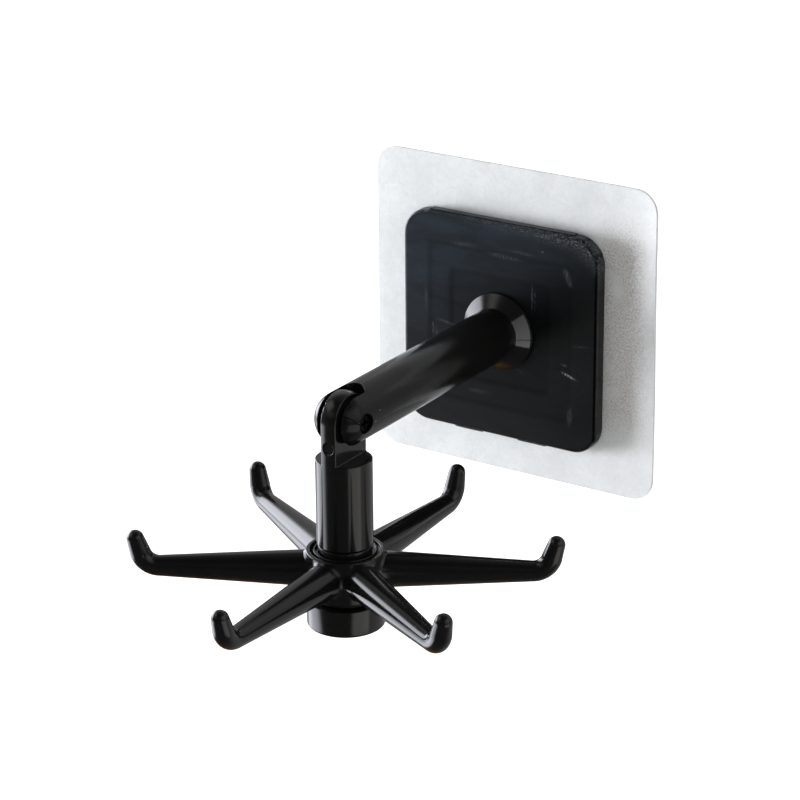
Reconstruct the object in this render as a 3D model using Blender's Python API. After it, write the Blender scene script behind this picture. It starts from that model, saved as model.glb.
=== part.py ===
"""Wall utensil hook: six hooks on a rotor, hung from a hinged arm on an adhesive sheet.

Every length is in metres. The wall is the plane y = 0 and the object stands out from
it towards -Y, with +Z up. The origin is the centre of the adhesive sheet's back face.

The sheet carries a square base plate. A round arm stands out of the plate and ends in
a fork. The fork's ears hold the tongue of a post, which hangs down at rest and swings
about the hinge screw. The post's narrow lower end is the journal that the rotor turns
on, and an end cap screwed to it keeps the rotor up.
"""

import math

import bmesh
import bpy
from mathutils import Vector

# Clearances
LAYER_GAP = 0.0001
SEAT_GAP = 0.00025
RUNNING_GAP = 0.0003

# Adhesive sheet
SHEET_SIDE = 0.080
SHEET_CORNER_RADIUS = 0.0058
ADHESIVE_THICKNESS = 0.00025
FILM_THICKNESS = 0.0005

# Base plate, stuck a little to the left of the sheet's centre and below it
PLATE_CENTRE_X = -0.0022
PLATE_CENTRE_Z = -0.0019
PLATE_SIDE = 0.056
PLATE_DEPTH = 0.0031
PLATE_CORNER_RADIUS = 0.0070
PLATE_EDGE_RADIUS = 0.0008
PLATE_RIM_WALL = 0.0019

# Low pads along the plate's edges, one long one above and two short ones below
TOP_PAD_LENGTH = 0.0415
BOTTOM_PAD_LENGTH = 0.0083
BOTTOM_PAD_SPACING = 0.0184
PAD_RISE = 0.0004
PAD_SETBACK = 0.0004

# Square boss that keeps the arm from turning on the plate
BOSS_SIDE = 0.0080
BOSS_HEIGHT = 0.0018
BOSS_CORNER_RADIUS = 0.0008

# Back plate and the tape that bonds it to the film
BACK_PLATE_THICKNESS = 0.0007
TAPE_THICKNESS = 0.0004
TAPE_MARGIN = 0.0015

# Arm and fork, whose dome has the arm's own radius
ROD_DIAMETER = 0.0134
PIN_REACH = 0.0730
FOOT_DIAMETER = 0.0198
FOOT_RIM_HEIGHT = 0.0003
FOOT_HEIGHT = 0.0024
SLOT_WIDTH = 0.0066
SLOT_STRAIGHT_DEPTH = 0.0028

# Countersunk screw that pulls the arm to the plate from behind
ARM_SCREW_DIAMETER = 0.0035
ARM_SCREW_HEAD_DIAMETER = 0.0068
ARM_SCREW_HEAD_HEIGHT = 0.0018
ARM_SCREW_LENGTH = 0.0220

# Hinge screw, nut and friction washers
HINGE_SCREW_DIAMETER = 0.0024
HINGE_HEAD_DIAMETER = 0.0042
HINGE_HEAD_HEIGHT = 0.0014
HINGE_HEAD_SUNK = 0.0008
HINGE_RECESS_DIAMETER = 0.0048
HINGE_NUT_WIDTH = 0.0045
HINGE_NUT_THICKNESS = 0.0014
HINGE_NUT_SUNK = 0.0006
FRICTION_WASHER_DIAMETER = 0.0092

# Post
TONGUE_THICKNESS = 0.0041
SHOULDER_DROP = 0.0097
JOURNAL_DIAMETER = 0.0104
POST_EDGE_CHAMFER = 0.0003
GATE_MARK_DIAMETER = 0.0024
GATE_MARK_DEPTH = 0.00015
GATE_MARK_DROP = 0.0054

# Rotor hub
HUB_DIAMETER = 0.0186
HUB_HEIGHT = 0.0107
HUB_TOP_DROP = 0.0327
HUB_LIP_WIDTH = 0.0010
HUB_EDGE_CHAMFER = 0.00025
GROOVE_DEPTH = 0.0015
SLEEVE_WALL = 0.0009
SLEEVE_RISE = 0.0013

# Hooks, whose roots narrow to a neck inside the hub's wall
HOOK_COUNT = 6
HOOK_PHASE = math.radians(30.0)
SPOKE_ROOT_DIAMETER = 0.0088
SPOKE_BEND_DIAMETER = 0.0050
SPOKE_REACH = 0.0438
SPOKE_DROP = 0.0051
BEND_RADIUS = 0.0047
FINGER_LEAN = math.radians(17.0)
FINGER_LENGTH = 0.00365
TIP_DIAMETER = 0.0042
NECK_DIAMETER = 0.0066
NECK_LENGTH = 0.0011

# Thrust washer, end cap and its screw
THRUST_WASHER_DIAMETER = 0.0152
THRUST_WASHER_THICKNESS = 0.0011
CAP_DIAMETER = 0.0186
CAP_HEIGHT = 0.0067
CAP_EDGE_RADIUS = 0.0006
CAP_SOCKET_DEPTH = 0.0030
CAP_WEB = 0.0014
CAP_SCREW_DIAMETER = 0.0029
CAP_SCREW_HEAD_DIAMETER = 0.0054
CAP_SCREW_HEAD_HEIGHT = 0.0017
CAP_SCREW_LENGTH = 0.0120

# Screw recesses, as shares of the head that carries them
CROSS_LENGTH_SHARE = 0.62
CROSS_WIDTH_SHARE = 0.17
CROSS_DEPTH_SHARE = 0.45

# How far a cutter runs past the surface that it cuts
OVERRUN = 0.0020

# Facets of round shapes
ROUND_SIDES = 64
SMALL_ROUND_SIDES = 32
ROD_SIDES = 18
DOME_STEPS = 9
CORNER_STEPS = 8
EDGE_STEPS = 3
BEND_STEPS = 9
TIP_STEPS = 4
SLOT_STEPS = 12
MERGE_DISTANCE = 0.000001
SMOOTH_ANGLE = math.radians(35.0)

# Places worked out from the sizes, as heights above the wall for the fixed pieces
FILM_BACK = ADHESIVE_THICKNESS + LAYER_GAP
FILM_FRONT = FILM_BACK + FILM_THICKNESS
PLATE_BACK = FILM_FRONT + LAYER_GAP
PLATE_FRONT = PLATE_BACK + PLATE_DEPTH
BACK_PLATE_BACK = PLATE_BACK + TAPE_THICKNESS + LAYER_GAP
BACK_PLATE_FRONT = BACK_PLATE_BACK + BACK_PLATE_THICKNESS
CAVITY_FLOOR = BACK_PLATE_FRONT + LAYER_GAP
ARM_SEAT = PLATE_FRONT + SEAT_GAP
ROD_RADIUS = ROD_DIAMETER / 2
HALF_SLOT = SLOT_WIDTH / 2
HALF_TONGUE = TONGUE_THICKNESS / 2

# Places on the post, as depths below the hinge pin
POST_END_DROP = HUB_TOP_DROP - SLEEVE_RISE - RUNNING_GAP
HUB_BOTTOM_DROP = HUB_TOP_DROP + HUB_HEIGHT
WASHER_TOP_DROP = HUB_BOTTOM_DROP + SEAT_GAP
CAP_TOP_DROP = WASHER_TOP_DROP + THRUST_WASHER_THICKNESS + SEAT_GAP
CAP_WEB_TOP_DROP = CAP_TOP_DROP + CAP_SOCKET_DEPTH
CAP_WEB_BOTTOM_DROP = CAP_WEB_TOP_DROP + CAP_WEB
CAP_BOTTOM_DROP = CAP_TOP_DROP + CAP_HEIGHT
JOURNAL_END_DROP = CAP_WEB_TOP_DROP - SEAT_GAP
CAP_SCREW_SEAT_DROP = CAP_WEB_BOTTOM_DROP + SEAT_GAP


# Helpers

def clear_scene():
    """Remove every object that the starting file holds."""
    for scene_object in list(bpy.data.objects):
        bpy.data.objects.remove(scene_object, do_unlink=True)


def make_material(name, colour, roughness, metallic=0.0, alpha=1.0):
    """Return a Principled material of one colour."""
    material = bpy.data.materials.new(name)
    material.use_nodes = True
    shader = material.node_tree.nodes["Principled BSDF"]
    shader.inputs["Base Color"].default_value = (*colour, 1.0)
    shader.inputs["Roughness"].default_value = roughness
    shader.inputs["Metallic"].default_value = metallic
    shader.inputs["Alpha"].default_value = alpha
    return material


def add_empty(name, location, parent=None, rotation=(0.0, 0.0, 0.0)):
    """Return an empty that carries other pieces."""
    empty = bpy.data.objects.new(name, None)
    empty.location = location
    empty.rotation_euler = rotation
    empty.parent = parent
    bpy.context.collection.objects.link(empty)
    return empty


def add_object(name, bm, parent, material=None, location=(0.0, 0.0, 0.0), rotation=(0.0, 0.0, 0.0)):
    """Turn a bmesh into a smooth-shaded object under its parent."""
    bmesh.ops.recalc_face_normals(bm, faces=bm.faces)
    mesh = bpy.data.meshes.new(name)
    bm.to_mesh(mesh)
    bm.free()
    mesh.shade_smooth()
    mesh.set_sharp_from_angle(angle=SMOOTH_ANGLE)
    if material:
        mesh.materials.append(material)
    piece = bpy.data.objects.new(name, mesh)
    piece.location = location
    piece.rotation_euler = rotation
    piece.parent = parent
    bpy.context.collection.objects.link(piece)
    return piece


def combine(target, tool, operation):
    """Give the target a Boolean with a tool object, which stays hidden."""
    tool.hide_render = True
    tool.display_type = "WIRE"
    modifier = target.modifiers.new(tool.name, "BOOLEAN")
    modifier.operation = operation
    modifier.solver = "EXACT"
    modifier.object = tool


def turned(profile, sides):
    """Spin a profile of (radius, height) points about Z.

    A profile that starts and ends on the axis makes a solid, and any other is closed
    into a ring.
    """
    bm = bmesh.new()
    points = [bm.verts.new((radius, 0.0, height)) for radius, height in profile]
    edges = [bm.edges.new(pair) for pair in zip(points, points[1:])]
    if profile[0][0] > 0:
        edges.append(bm.edges.new((points[-1], points[0])))
    bmesh.ops.spin(
        bm,
        geom=points + edges,
        axis=(0, 0, 1),
        cent=(0, 0, 0),
        steps=sides,
        angle=math.tau,
        use_merge=True,
    )
    bmesh.ops.remove_doubles(bm, verts=bm.verts, dist=MERGE_DISTANCE)
    return bm


def lofted(sections):
    """Join closed sections of equal point counts and cap the first and the last."""
    bm = bmesh.new()
    loops = [[bm.verts.new(point) for point in section] for section in sections]
    for lower, upper in zip(loops, loops[1:]):
        for here in range(len(lower)):
            after = (here + 1) % len(lower)
            bm.faces.new((lower[here], lower[after], upper[after], upper[here]))
    bm.faces.new(reversed(loops[0]))
    bm.faces.new(loops[-1])
    return bm


def lofted_triangles(sections):
    """Join sections as lofted does, in triangles, because a Boolean needs flat faces."""
    bm = lofted(sections)
    bmesh.ops.triangulate(bm, faces=bm.faces)
    return bm


def prism(outline, low, high):
    """Extrude a flat outline of (x, y) points from one height to another."""
    return lofted([[(x, y, height) for x, y in outline] for height in (low, high)])


def rectangle(width, height, centre_x=0.0, centre_y=0.0):
    """Return the corners of a rectangle."""
    half_width = width / 2
    half_height = height / 2
    return [
        (centre_x - half_width, centre_y - half_height),
        (centre_x + half_width, centre_y - half_height),
        (centre_x + half_width, centre_y + half_height),
        (centre_x - half_width, centre_y + half_height),
    ]


def rounded_square(side, radius):
    """Return the outline of a square with round corners, counter-clockwise."""
    inner = side / 2 - radius
    outline = []
    for quarter, (sign_x, sign_y) in enumerate(((1, 1), (-1, 1), (-1, -1), (1, -1))):
        for step in range(CORNER_STEPS + 1):
            angle = (quarter + step / CORNER_STEPS) * math.pi / 2
            x = sign_x * inner + radius * math.cos(angle)
            y = sign_y * inner + radius * math.sin(angle)
            outline.append((x, y))
    return outline


def hexagon(width_across_flats):
    """Return a regular hexagon."""
    corner_radius = width_across_flats / (2 * math.cos(math.pi / 6))
    corners = [corner * math.pi / 3 for corner in range(6)]
    return [(corner_radius * math.cos(angle), corner_radius * math.sin(angle)) for angle in corners]


def cross_outline(length, width):
    """Return a plus sign, the recess of a cross-head screw."""
    reach = length / 2
    half = width / 2
    quarter = [(reach, -half), (reach, half), (half, half)]
    outline = []
    for turn in range(4):
        cosine = round(math.cos(turn * math.pi / 2))
        sine = round(math.sin(turn * math.pi / 2))
        outline += [(x * cosine - y * sine, x * sine + y * cosine) for x, y in quarter]
    return outline


def cut_cross(screw, head_diameter, head_height, head_top, parent, rotation, location=(0.0, 0.0, 0.0)):
    """Cut a cross recess into a screw head whose top face is at head_top on its own Z."""
    outline = cross_outline(head_diameter * CROSS_LENGTH_SHARE, head_diameter * CROSS_WIDTH_SHARE)
    floor = head_top - head_height * CROSS_DEPTH_SHARE
    tool = add_object(
        screw.name + "_cross", prism(outline, floor, head_top + OVERRUN), parent,
        location=location, rotation=rotation,
    )
    combine(screw, tool, "DIFFERENCE")


def dome(radius, centre):
    """Return profile points from a rod's side over its round end to the axis."""
    points = []
    for step in range(DOME_STEPS):
        angle = step / DOME_STEPS * math.pi / 2
        points.append((radius * math.cos(angle), centre + radius * math.sin(angle)))
    points.append((0.0, centre + radius))
    return points


# Sheets on the wall

def build_sheets(frame, materials):
    """Make the adhesive and the film that carries it, centred on the origin."""
    outline = rounded_square(SHEET_SIDE, SHEET_CORNER_RADIUS)
    add_object(
        "adhesive_layer", prism(outline, 0.0, ADHESIVE_THICKNESS), frame, materials["adhesive"],
    )
    add_object("carrier_film", prism(outline, FILM_BACK, FILM_FRONT), frame, materials["film"])


# Base plate and what is behind it

def plate_cavity_side():
    """Return the width of the hollow in the base plate's back."""
    return PLATE_SIDE - 2 * PLATE_RIM_WALL


def build_base_plate(frame, materials):
    """Make the plate: a shallow tray with a rounded front edge, pads and a boss."""
    sections = []
    outline = rounded_square(PLATE_SIDE, PLATE_CORNER_RADIUS)
    sections.append([(x, y, PLATE_BACK) for x, y in outline])
    for step in range(EDGE_STEPS + 1):
        angle = step / EDGE_STEPS * math.pi / 2
        inset = PLATE_EDGE_RADIUS * (1 - math.cos(angle))
        height = PLATE_FRONT - PLATE_EDGE_RADIUS * (1 - math.sin(angle))
        outline = rounded_square(PLATE_SIDE - 2 * inset, PLATE_CORNER_RADIUS - inset)
        sections.append([(x, y, height) for x, y in outline])
    plate = add_object("base_plate", lofted(sections), frame, materials["plate"])

    pads = [
        ("top", TOP_PAD_LENGTH, 0.0, 1),
        ("bottom_left", BOTTOM_PAD_LENGTH, -BOTTOM_PAD_SPACING / 2, -1),
        ("bottom_right", BOTTOM_PAD_LENGTH, BOTTOM_PAD_SPACING / 2, -1),
    ]
    pad_depth = PLATE_RIM_WALL / 2 + PAD_RISE
    pad_middle = PLATE_SIDE / 2 + PAD_RISE - pad_depth / 2
    pad_front = PLATE_FRONT - PLATE_EDGE_RADIUS
    for name, length, centre_x, side in pads:
        outline = rectangle(length, pad_depth, centre_x, side * pad_middle)
        pad = prism(outline, PLATE_BACK + PAD_SETBACK, pad_front)
        combine(plate, add_object("pad_" + name, pad, frame), "UNION")

    boss_outline = rounded_square(BOSS_SIDE, BOSS_CORNER_RADIUS)
    boss_root = (CAVITY_FLOOR + PLATE_FRONT) / 2
    boss = add_object("plate_boss", prism(boss_outline, boss_root, PLATE_FRONT + BOSS_HEIGHT), frame)
    combine(plate, boss, "UNION")

    cavity_outline = rounded_square(plate_cavity_side(), PLATE_CORNER_RADIUS - PLATE_RIM_WALL)
    cavity = add_object("plate_cavity", prism(cavity_outline, PLATE_BACK - OVERRUN, CAVITY_FLOOR), frame)
    combine(plate, cavity, "DIFFERENCE")

    head_radius = ARM_SCREW_HEAD_DIAMETER / 2 + SEAT_GAP
    shank_radius = ARM_SCREW_DIAMETER / 2 + SEAT_GAP
    hole_profile = [
        (0.0, CAVITY_FLOOR - LAYER_GAP),
        (head_radius, CAVITY_FLOOR - LAYER_GAP),
        (head_radius, CAVITY_FLOOR + SEAT_GAP),
        (shank_radius, CAVITY_FLOOR + SEAT_GAP + ARM_SCREW_HEAD_HEIGHT),
        (shank_radius, PLATE_FRONT + BOSS_HEIGHT + OVERRUN),
        (0.0, PLATE_FRONT + BOSS_HEIGHT + OVERRUN),
    ]
    hole = add_object("plate_screw_hole", turned(hole_profile, SMALL_ROUND_SIDES), frame)
    combine(plate, hole, "DIFFERENCE")


def build_back_plate(frame, materials):
    """Make the flat plate that closes the tray and the tape that bonds it to the film."""
    side = plate_cavity_side() - 2 * SEAT_GAP
    corner = PLATE_CORNER_RADIUS - PLATE_RIM_WALL - SEAT_GAP
    outline = rounded_square(side, corner)
    back_plate = prism(outline, BACK_PLATE_BACK, BACK_PLATE_FRONT)
    add_object("back_plate", back_plate, frame, materials["plate"])
    tape_outline = rounded_square(side - 2 * TAPE_MARGIN, corner)
    tape = prism(tape_outline, PLATE_BACK, PLATE_BACK + TAPE_THICKNESS)
    add_object("mounting_tape", tape, frame, materials["tape"])


def build_arm_screw(frame, materials):
    """Make the countersunk screw that goes through the plate into the arm."""
    head_radius = ARM_SCREW_HEAD_DIAMETER / 2
    shank_radius = ARM_SCREW_DIAMETER / 2
    head_top = CAVITY_FLOOR
    profile = [
        (0.0, -head_top),
        (head_radius, -head_top),
        (shank_radius, -head_top - ARM_SCREW_HEAD_HEIGHT),
        (shank_radius, -head_top - ARM_SCREW_LENGTH + shank_radius),
        (0.0, -head_top - ARM_SCREW_LENGTH),
    ]
    turned_over = (math.pi, 0.0, 0.0)
    screw = add_object(
        "arm_screw", turned(profile, SMALL_ROUND_SIDES), frame, materials["steel"], rotation=turned_over,
    )
    cut_cross(screw, ARM_SCREW_HEAD_DIAMETER, ARM_SCREW_HEAD_HEIGHT, -head_top, frame, turned_over)


# Arm with its foot and fork

def slot_end_depth(across):
    """Return how far behind the pin the slot ends on the arm's surface, at x = across."""
    return SLOT_STRAIGHT_DEPTH + math.sqrt(max(HALF_SLOT ** 2 - across ** 2, 0.0))


def slot_section(across):
    """Return the slot's outline in the plane x = across.

    The slot is open to the front and below. Its end is an arc about the pin, so that
    the tongue clears it, and meets the arm's surface at slot_end_depth.
    """
    surface_height = math.sqrt(ROD_RADIUS ** 2 - across ** 2)
    reach = math.hypot(slot_end_depth(across), surface_height)
    far = PIN_REACH + ROD_RADIUS + OVERRUN
    low = -ROD_RADIUS - OVERRUN
    section = [(across, low, far), (across, low, PIN_REACH - reach)]
    for step in range(DOME_STEPS + 1):
        angle = step / DOME_STEPS * math.pi / 2
        height = reach * math.sin(angle)
        section.append((across, height, PIN_REACH - reach * math.cos(angle)))
    section.append((across, reach, far))
    return section


def build_fork_cutters(arm, frame):
    """Cut the slot, the stepped hole of the hinge screw and the nut's pocket."""
    turns = [-math.pi / 2 + step / SLOT_STEPS * math.pi for step in range(SLOT_STEPS + 1)]
    sections = [slot_section(HALF_SLOT * math.sin(turn)) for turn in turns]
    combine(arm, add_object("fork_slot", lofted_triangles(sections), frame), "DIFFERENCE")

    pin = (0.0, 0.0, PIN_REACH)
    along_x = (0.0, math.pi / 2, 0.0)
    past_ear = ROD_RADIUS + OVERRUN
    hole_radius = HINGE_SCREW_DIAMETER / 2 + SEAT_GAP
    recess_radius = HINGE_RECESS_DIAMETER / 2
    recess_floor = head_seat() - SEAT_GAP
    hole_profile = [
        (0.0, -past_ear),
        (hole_radius, -past_ear),
        (hole_radius, recess_floor),
        (recess_radius, recess_floor),
        (recess_radius, past_ear),
        (0.0, past_ear),
    ]
    hole = turned(hole_profile, SMALL_ROUND_SIDES)
    combine(arm, add_object("hinge_hole", hole, frame, location=pin, rotation=along_x), "DIFFERENCE")

    pocket_outline = hexagon(HINGE_NUT_WIDTH + 2 * SEAT_GAP)
    pocket = prism(pocket_outline, -past_ear, nut_inner_face() + SEAT_GAP)
    combine(arm, add_object("nut_pocket", pocket, frame, location=pin, rotation=along_x), "DIFFERENCE")


def build_support_arm(frame, materials):
    """Make the arm: a flared foot, a round rod and a forked dome about the hinge pin."""
    profile = [
        (0.0, ARM_SEAT),
        (FOOT_DIAMETER / 2, ARM_SEAT),
        (FOOT_DIAMETER / 2, ARM_SEAT + FOOT_RIM_HEIGHT),
        (ROD_RADIUS, ARM_SEAT + FOOT_HEIGHT),
    ]
    profile += dome(ROD_RADIUS, PIN_REACH)
    arm = add_object("support_arm", turned(profile, ROUND_SIDES), frame, materials["gloss_black"])

    socket_outline = rounded_square(BOSS_SIDE + 2 * SEAT_GAP, BOSS_CORNER_RADIUS + SEAT_GAP)
    socket_floor = PLATE_FRONT + BOSS_HEIGHT + SEAT_GAP
    socket = add_object("arm_socket", prism(socket_outline, ARM_SEAT - OVERRUN, socket_floor), frame)
    combine(arm, socket, "DIFFERENCE")

    bore_radius = ARM_SCREW_DIAMETER / 2 + SEAT_GAP
    bore_end = CAVITY_FLOOR + ARM_SCREW_LENGTH + SEAT_GAP
    bore_profile = [
        (0.0, ARM_SEAT - OVERRUN), (bore_radius, ARM_SEAT - OVERRUN), (bore_radius, bore_end), (0.0, bore_end),
    ]
    combine(arm, add_object("arm_bore", turned(bore_profile, SMALL_ROUND_SIDES), frame), "DIFFERENCE")
    build_fork_cutters(arm, frame)


# Hinge

def head_seat():
    """Return how far the hinge screw's head sits from the middle, along the pin."""
    return ROD_RADIUS - HINGE_HEAD_SUNK - HINGE_HEAD_HEIGHT


def nut_inner_face():
    """Return where the nut's inner face is along the pin, on the side away from the head."""
    return -(ROD_RADIUS - HINGE_NUT_SUNK - HINGE_NUT_THICKNESS)


def build_hinge(frame, materials):
    """Make the hinge screw, its nut and the two friction washers, about the pin."""
    pin = (0.0, 0.0, PIN_REACH)
    along_x = (0.0, math.pi / 2, 0.0)
    shank_radius = HINGE_SCREW_DIAMETER / 2
    head_radius = HINGE_HEAD_DIAMETER / 2
    head_top = head_seat() + HINGE_HEAD_HEIGHT
    nut_outer_face = nut_inner_face() - HINGE_NUT_THICKNESS
    crown = HINGE_HEAD_HEIGHT / 3
    profile = [
        (0.0, nut_outer_face),
        (shank_radius, nut_outer_face),
        (shank_radius, head_seat()),
        (head_radius, head_seat()),
        (head_radius, head_top - crown),
        (head_radius - crown, head_top),
        (0.0, head_top),
    ]
    screw = add_object(
        "hinge_screw", turned(profile, SMALL_ROUND_SIDES), frame, materials["steel"], pin, along_x,
    )
    cut_cross(screw, HINGE_HEAD_DIAMETER, HINGE_HEAD_HEIGHT, head_top, frame, along_x, pin)

    nut_prism = prism(hexagon(HINGE_NUT_WIDTH), nut_outer_face, nut_inner_face())
    nut = add_object("hinge_nut", nut_prism, frame, materials["steel"], pin, along_x)
    thread_radius = shank_radius + SEAT_GAP
    thread_ends = (nut_outer_face - OVERRUN, nut_inner_face() + OVERRUN)
    thread_profile = [
        (0.0, thread_ends[0]), (thread_radius, thread_ends[0]), (thread_radius, thread_ends[1]),
        (0.0, thread_ends[1]),
    ]
    thread = turned(thread_profile, SMALL_ROUND_SIDES)
    combine(nut, add_object("nut_thread", thread, frame, location=pin, rotation=along_x), "DIFFERENCE")

    washer_radius = FRICTION_WASHER_DIAMETER / 2
    bore_radius = shank_radius + SEAT_GAP
    inner = HALF_TONGUE + SEAT_GAP
    outer = HALF_SLOT - SEAT_GAP
    for side, name in ((1, "friction_washer_near"), (-1, "friction_washer_far")):
        washer_profile = [
            (bore_radius, side * inner), (washer_radius, side * inner),
            (washer_radius, side * outer), (bore_radius, side * outer),
        ]
        washer = turned(washer_profile, SMALL_ROUND_SIDES)
        add_object(name, washer, frame, materials["nylon"], pin, along_x)


# Post

def build_post(pivot, materials):
    """Make the post: a flat tongue on a round body, and the rotor's journal below it."""
    journal_radius = JOURNAL_DIAMETER / 2
    profile = [
        (0.0, -JOURNAL_END_DROP),
        (journal_radius - POST_EDGE_CHAMFER, -JOURNAL_END_DROP),
        (journal_radius, -JOURNAL_END_DROP + POST_EDGE_CHAMFER),
        (journal_radius, -POST_END_DROP),
        (ROD_RADIUS - POST_EDGE_CHAMFER, -POST_END_DROP),
        (ROD_RADIUS, -POST_END_DROP + POST_EDGE_CHAMFER),
    ]
    profile += dome(ROD_RADIUS, 0.0)
    post = add_object("swivel_post", turned(profile, ROUND_SIDES), pivot, materials["gloss_black"])

    flat_width = ROD_RADIUS - HALF_TONGUE + OVERRUN
    for side, name in ((1, "tongue_flat_near"), (-1, "tongue_flat_far")):
        outline = rectangle(flat_width, ROD_DIAMETER + 2 * OVERRUN, side * (HALF_TONGUE + flat_width / 2))
        flat = add_object(name, prism(outline, -SHOULDER_DROP, ROD_RADIUS + OVERRUN), pivot)
        combine(post, flat, "DIFFERENCE")

    bore_radius = HINGE_SCREW_DIAMETER / 2 + RUNNING_GAP
    past_tongue = HALF_TONGUE + OVERRUN
    bore_profile = [
        (0.0, -past_tongue), (bore_radius, -past_tongue), (bore_radius, past_tongue), (0.0, past_tongue),
    ]
    bore = turned(bore_profile, SMALL_ROUND_SIDES)
    along_x = (0.0, math.pi / 2, 0.0)
    combine(post, add_object("tongue_bore", bore, pivot, rotation=along_x), "DIFFERENCE")

    mark_radius = GATE_MARK_DIAMETER / 2
    mark_floor = ROD_RADIUS - GATE_MARK_DEPTH
    mark_profile = [
        (0.0, mark_floor), (mark_radius, mark_floor), (mark_radius, ROD_RADIUS + OVERRUN),
        (0.0, ROD_RADIUS + OVERRUN),
    ]
    mark = turned(mark_profile, SMALL_ROUND_SIDES)
    facing_out = (math.pi / 2, 0.0, 0.0)
    mark_place = (0.0, 0.0, -GATE_MARK_DROP)
    combine(post, add_object("gate_mark", mark, pivot, location=mark_place, rotation=facing_out), "DIFFERENCE")

    screw_radius = CAP_SCREW_DIAMETER / 2 + SEAT_GAP
    bore_top = -CAP_SCREW_SEAT_DROP + CAP_SCREW_LENGTH + SEAT_GAP
    bore_bottom = -JOURNAL_END_DROP - OVERRUN
    screw_profile = [(0.0, bore_bottom), (screw_radius, bore_bottom), (screw_radius, bore_top), (0.0, bore_top)]
    combine(post, add_object("post_screw_bore", turned(screw_profile, SMALL_ROUND_SIDES), pivot), "DIFFERENCE")


# Rotor

def hook_path():
    """Return the hook's centre line as (out, up, heading, radius) for each section.

    The path starts inside the hub with a neck that keeps clear of the groove, runs out
    level, bends up and ends in a finger that leans outwards.
    """
    root_radius = SPOKE_ROOT_DIAMETER / 2
    bend_rod_radius = SPOKE_BEND_DIAMETER / 2
    tip_radius = TIP_DIAMETER / 2
    start = HUB_DIAMETER / 2 - HUB_LIP_WIDTH + HUB_EDGE_CHAMFER
    path = [
        (start - NECK_LENGTH, 0.0, 0.0, NECK_DIAMETER / 2),
        (start, 0.0, 0.0, root_radius),
        (SPOKE_REACH, 0.0, 0.0, bend_rod_radius),
    ]
    turn = math.pi / 2 - FINGER_LEAN
    for step in range(1, BEND_STEPS + 1):
        heading = turn * step / BEND_STEPS
        out = SPOKE_REACH + BEND_RADIUS * math.sin(heading)
        path.append((out, BEND_RADIUS * (1 - math.cos(heading)), heading, bend_rod_radius))
    finger_out, finger_up = path[-1][0], path[-1][1]
    tip_out = finger_out + FINGER_LENGTH * math.cos(turn)
    tip_up = finger_up + FINGER_LENGTH * math.sin(turn)
    path.append((tip_out, tip_up, turn, tip_radius))
    return path


def build_hook():
    """Return the bmesh of one hook that points along +X, with its rod axis at z = 0."""
    sections = []
    path = hook_path()
    tip_out, tip_up, heading, tip_radius = path[-1]
    for step in range(1, TIP_STEPS):
        angle = step / TIP_STEPS * math.pi / 2
        along = tip_radius * math.sin(angle)
        path.append((
            tip_out + along * math.cos(heading), tip_up + along * math.sin(heading), heading,
            tip_radius * math.cos(angle),
        ))
    for out, up, heading, radius in path:
        centre = Vector((out, 0.0, up))
        upward = Vector((-math.sin(heading), 0.0, math.cos(heading)))
        across = Vector((0.0, 1.0, 0.0))
        section = []
        for side in range(ROD_SIDES):
            angle = side / ROD_SIDES * math.tau
            section.append(centre + radius * (math.cos(angle) * across + math.sin(angle) * upward))
        sections.append(section)
    return lofted_triangles(sections)


def build_rotor(axis, materials):
    """Make the rotor, one moulding: a hub with a grooved top and six upturned hooks."""
    hub_radius = HUB_DIAMETER / 2
    bore_radius = JOURNAL_DIAMETER / 2 + RUNNING_GAP
    sleeve_radius = bore_radius + SLEEVE_WALL
    groove_radius = hub_radius - HUB_LIP_WIDTH
    hub_profile = [
        (bore_radius, -HUB_HEIGHT),
        (hub_radius - HUB_EDGE_CHAMFER, -HUB_HEIGHT),
        (hub_radius, -HUB_HEIGHT + HUB_EDGE_CHAMFER),
        (hub_radius, -HUB_EDGE_CHAMFER),
        (hub_radius - HUB_EDGE_CHAMFER, 0.0),
        (groove_radius + HUB_EDGE_CHAMFER, 0.0),
        (groove_radius, -HUB_EDGE_CHAMFER),
        (groove_radius, -GROOVE_DEPTH),
        (sleeve_radius, -GROOVE_DEPTH),
        (sleeve_radius, SLEEVE_RISE),
        (bore_radius, SLEEVE_RISE),
    ]
    rotor = add_object("hook_rotor", turned(hub_profile, ROUND_SIDES), axis, materials["gloss_black"])

    for number in range(HOOK_COUNT):
        angle = HOOK_PHASE + number * math.tau / HOOK_COUNT
        hook = add_object(
            f"hook_{number + 1}", build_hook(), axis,
            location=(0.0, 0.0, -SPOKE_DROP), rotation=(0.0, 0.0, angle),
        )
        combine(rotor, hook, "UNION")


# End of the post

def build_thrust_washer(pivot, materials):
    """Make the washer that the rotor turns on."""
    inner = JOURNAL_DIAMETER / 2 + SEAT_GAP
    outer = THRUST_WASHER_DIAMETER / 2
    top = -WASHER_TOP_DROP
    bottom = top - THRUST_WASHER_THICKNESS
    profile = [(inner, bottom), (outer, bottom), (outer, top), (inner, top)]
    add_object("thrust_washer", turned(profile, ROUND_SIDES), pivot, materials["nylon"])


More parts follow.
